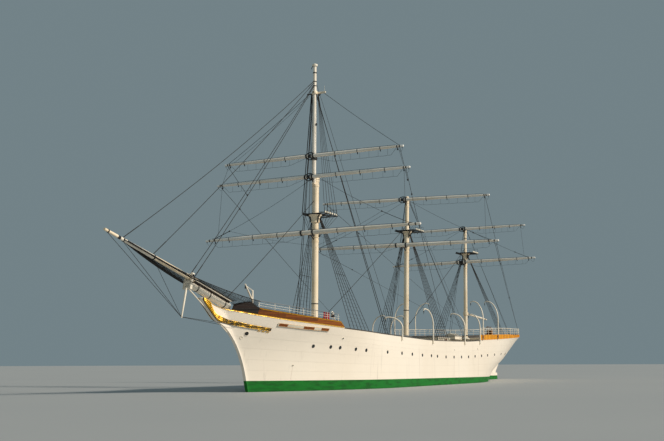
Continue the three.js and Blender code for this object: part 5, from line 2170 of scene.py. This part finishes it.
def makeCapstan():
    shape = Shape()
    seat = Vector((capstan["x"], 0, sheerAt(capstan["x"]) + capstan["seat"]))
    rows, split = capstan["rows"], capstan["blackRows"]
    shape.lathe(seat, (0, 0, 1), rows[:split], "black", 32)
    shape.lathe(seat, (0, 0, 1), rows[split - 1:], "white", 32)
    for u, v in circle(capstan["whelps"]):
        out = Vector((u, v, 0))
        whelp = [seat + lifted(up) + out * r for up, r in ((12, 33), (45, 28.5), (62, 32))]
        shape.tube(whelp, 3.2, "black", 8)
    for k in range(capstan["holes"]):
        t = 2 * pi * (k + 0.5) / capstan["holes"]
        out = Vector((cos(t), sin(t), 0))
        shape.lathe(seat + lifted(82) + out * 43, out, [(0, 5), (1.8, 5)], "iron", 8)
    setOut(shape, "capstan_drum", "capstan", ["capstan"])


# Anchor crane: its post, where the strut leaves that, the jib's head and the tie's end
crane = {"x": 3390, "seat": 4, "tall": 244, "strut": 150, "head": (3513, 0, 926), "tie": (3500, 0, 912)}


def makeCrane():
    shape = Shape()
    x, tall = crane["x"], crane["tall"]
    foot = sheerAt(x) + crane["seat"]
    post = [(0.4, 12), (14, 12), (16, 9), (18, 8), (tall, 8), (tall + 4, 5)]
    shape.lathe((x, 0, foot), (0, 0, 1), post, "white", 20)
    head = Vector(crane["head"])
    shape.tube([(x - 4, 0, foot + crane["strut"]), head], [8, 6.5], "white", 14)
    shape.tube([(x, 0, foot + tall), crane["tie"]], 3, "white", 10)
    shape.ring(head - Vector((4, 0, 11)), (0, 1, 0), 6, 2, "iron", 14, 6)
    shape.block(head - Vector((4, 0, 30)), (12, 9, 22), "black", 3)
    setOut(shape, "crane_jib", "anchor_crane", ["anchor_crane"])


def paintRudder():
    # the rudder keeps its solid's shape, in the hull's paint
    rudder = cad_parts["rudder"]
    rudder.data.materials.clear()
    rudder.data.materials.append(finishes["hull"])


makeWheel()
makeSteeringBox()
makeCapstan()
makeCrane()
paintRudder()
print("deck gear done")


# floor at the waterline

def makeFloor():
    # rings out to 90 m, with the waterline at height 0
    rings = [[(r * u, r * v, 0) for u, v in circle(48)] for r in (10, 6000, 14000, 40000, 90000)]
    shape = Shape()
    shape.skin(rings, "floor", caps=False)
    floor = shape.make("studio_floor")
    for polygon in floor.data.polygons:
        if polygon.normal.z < 0:
            polygon.flip()


makeFloor()
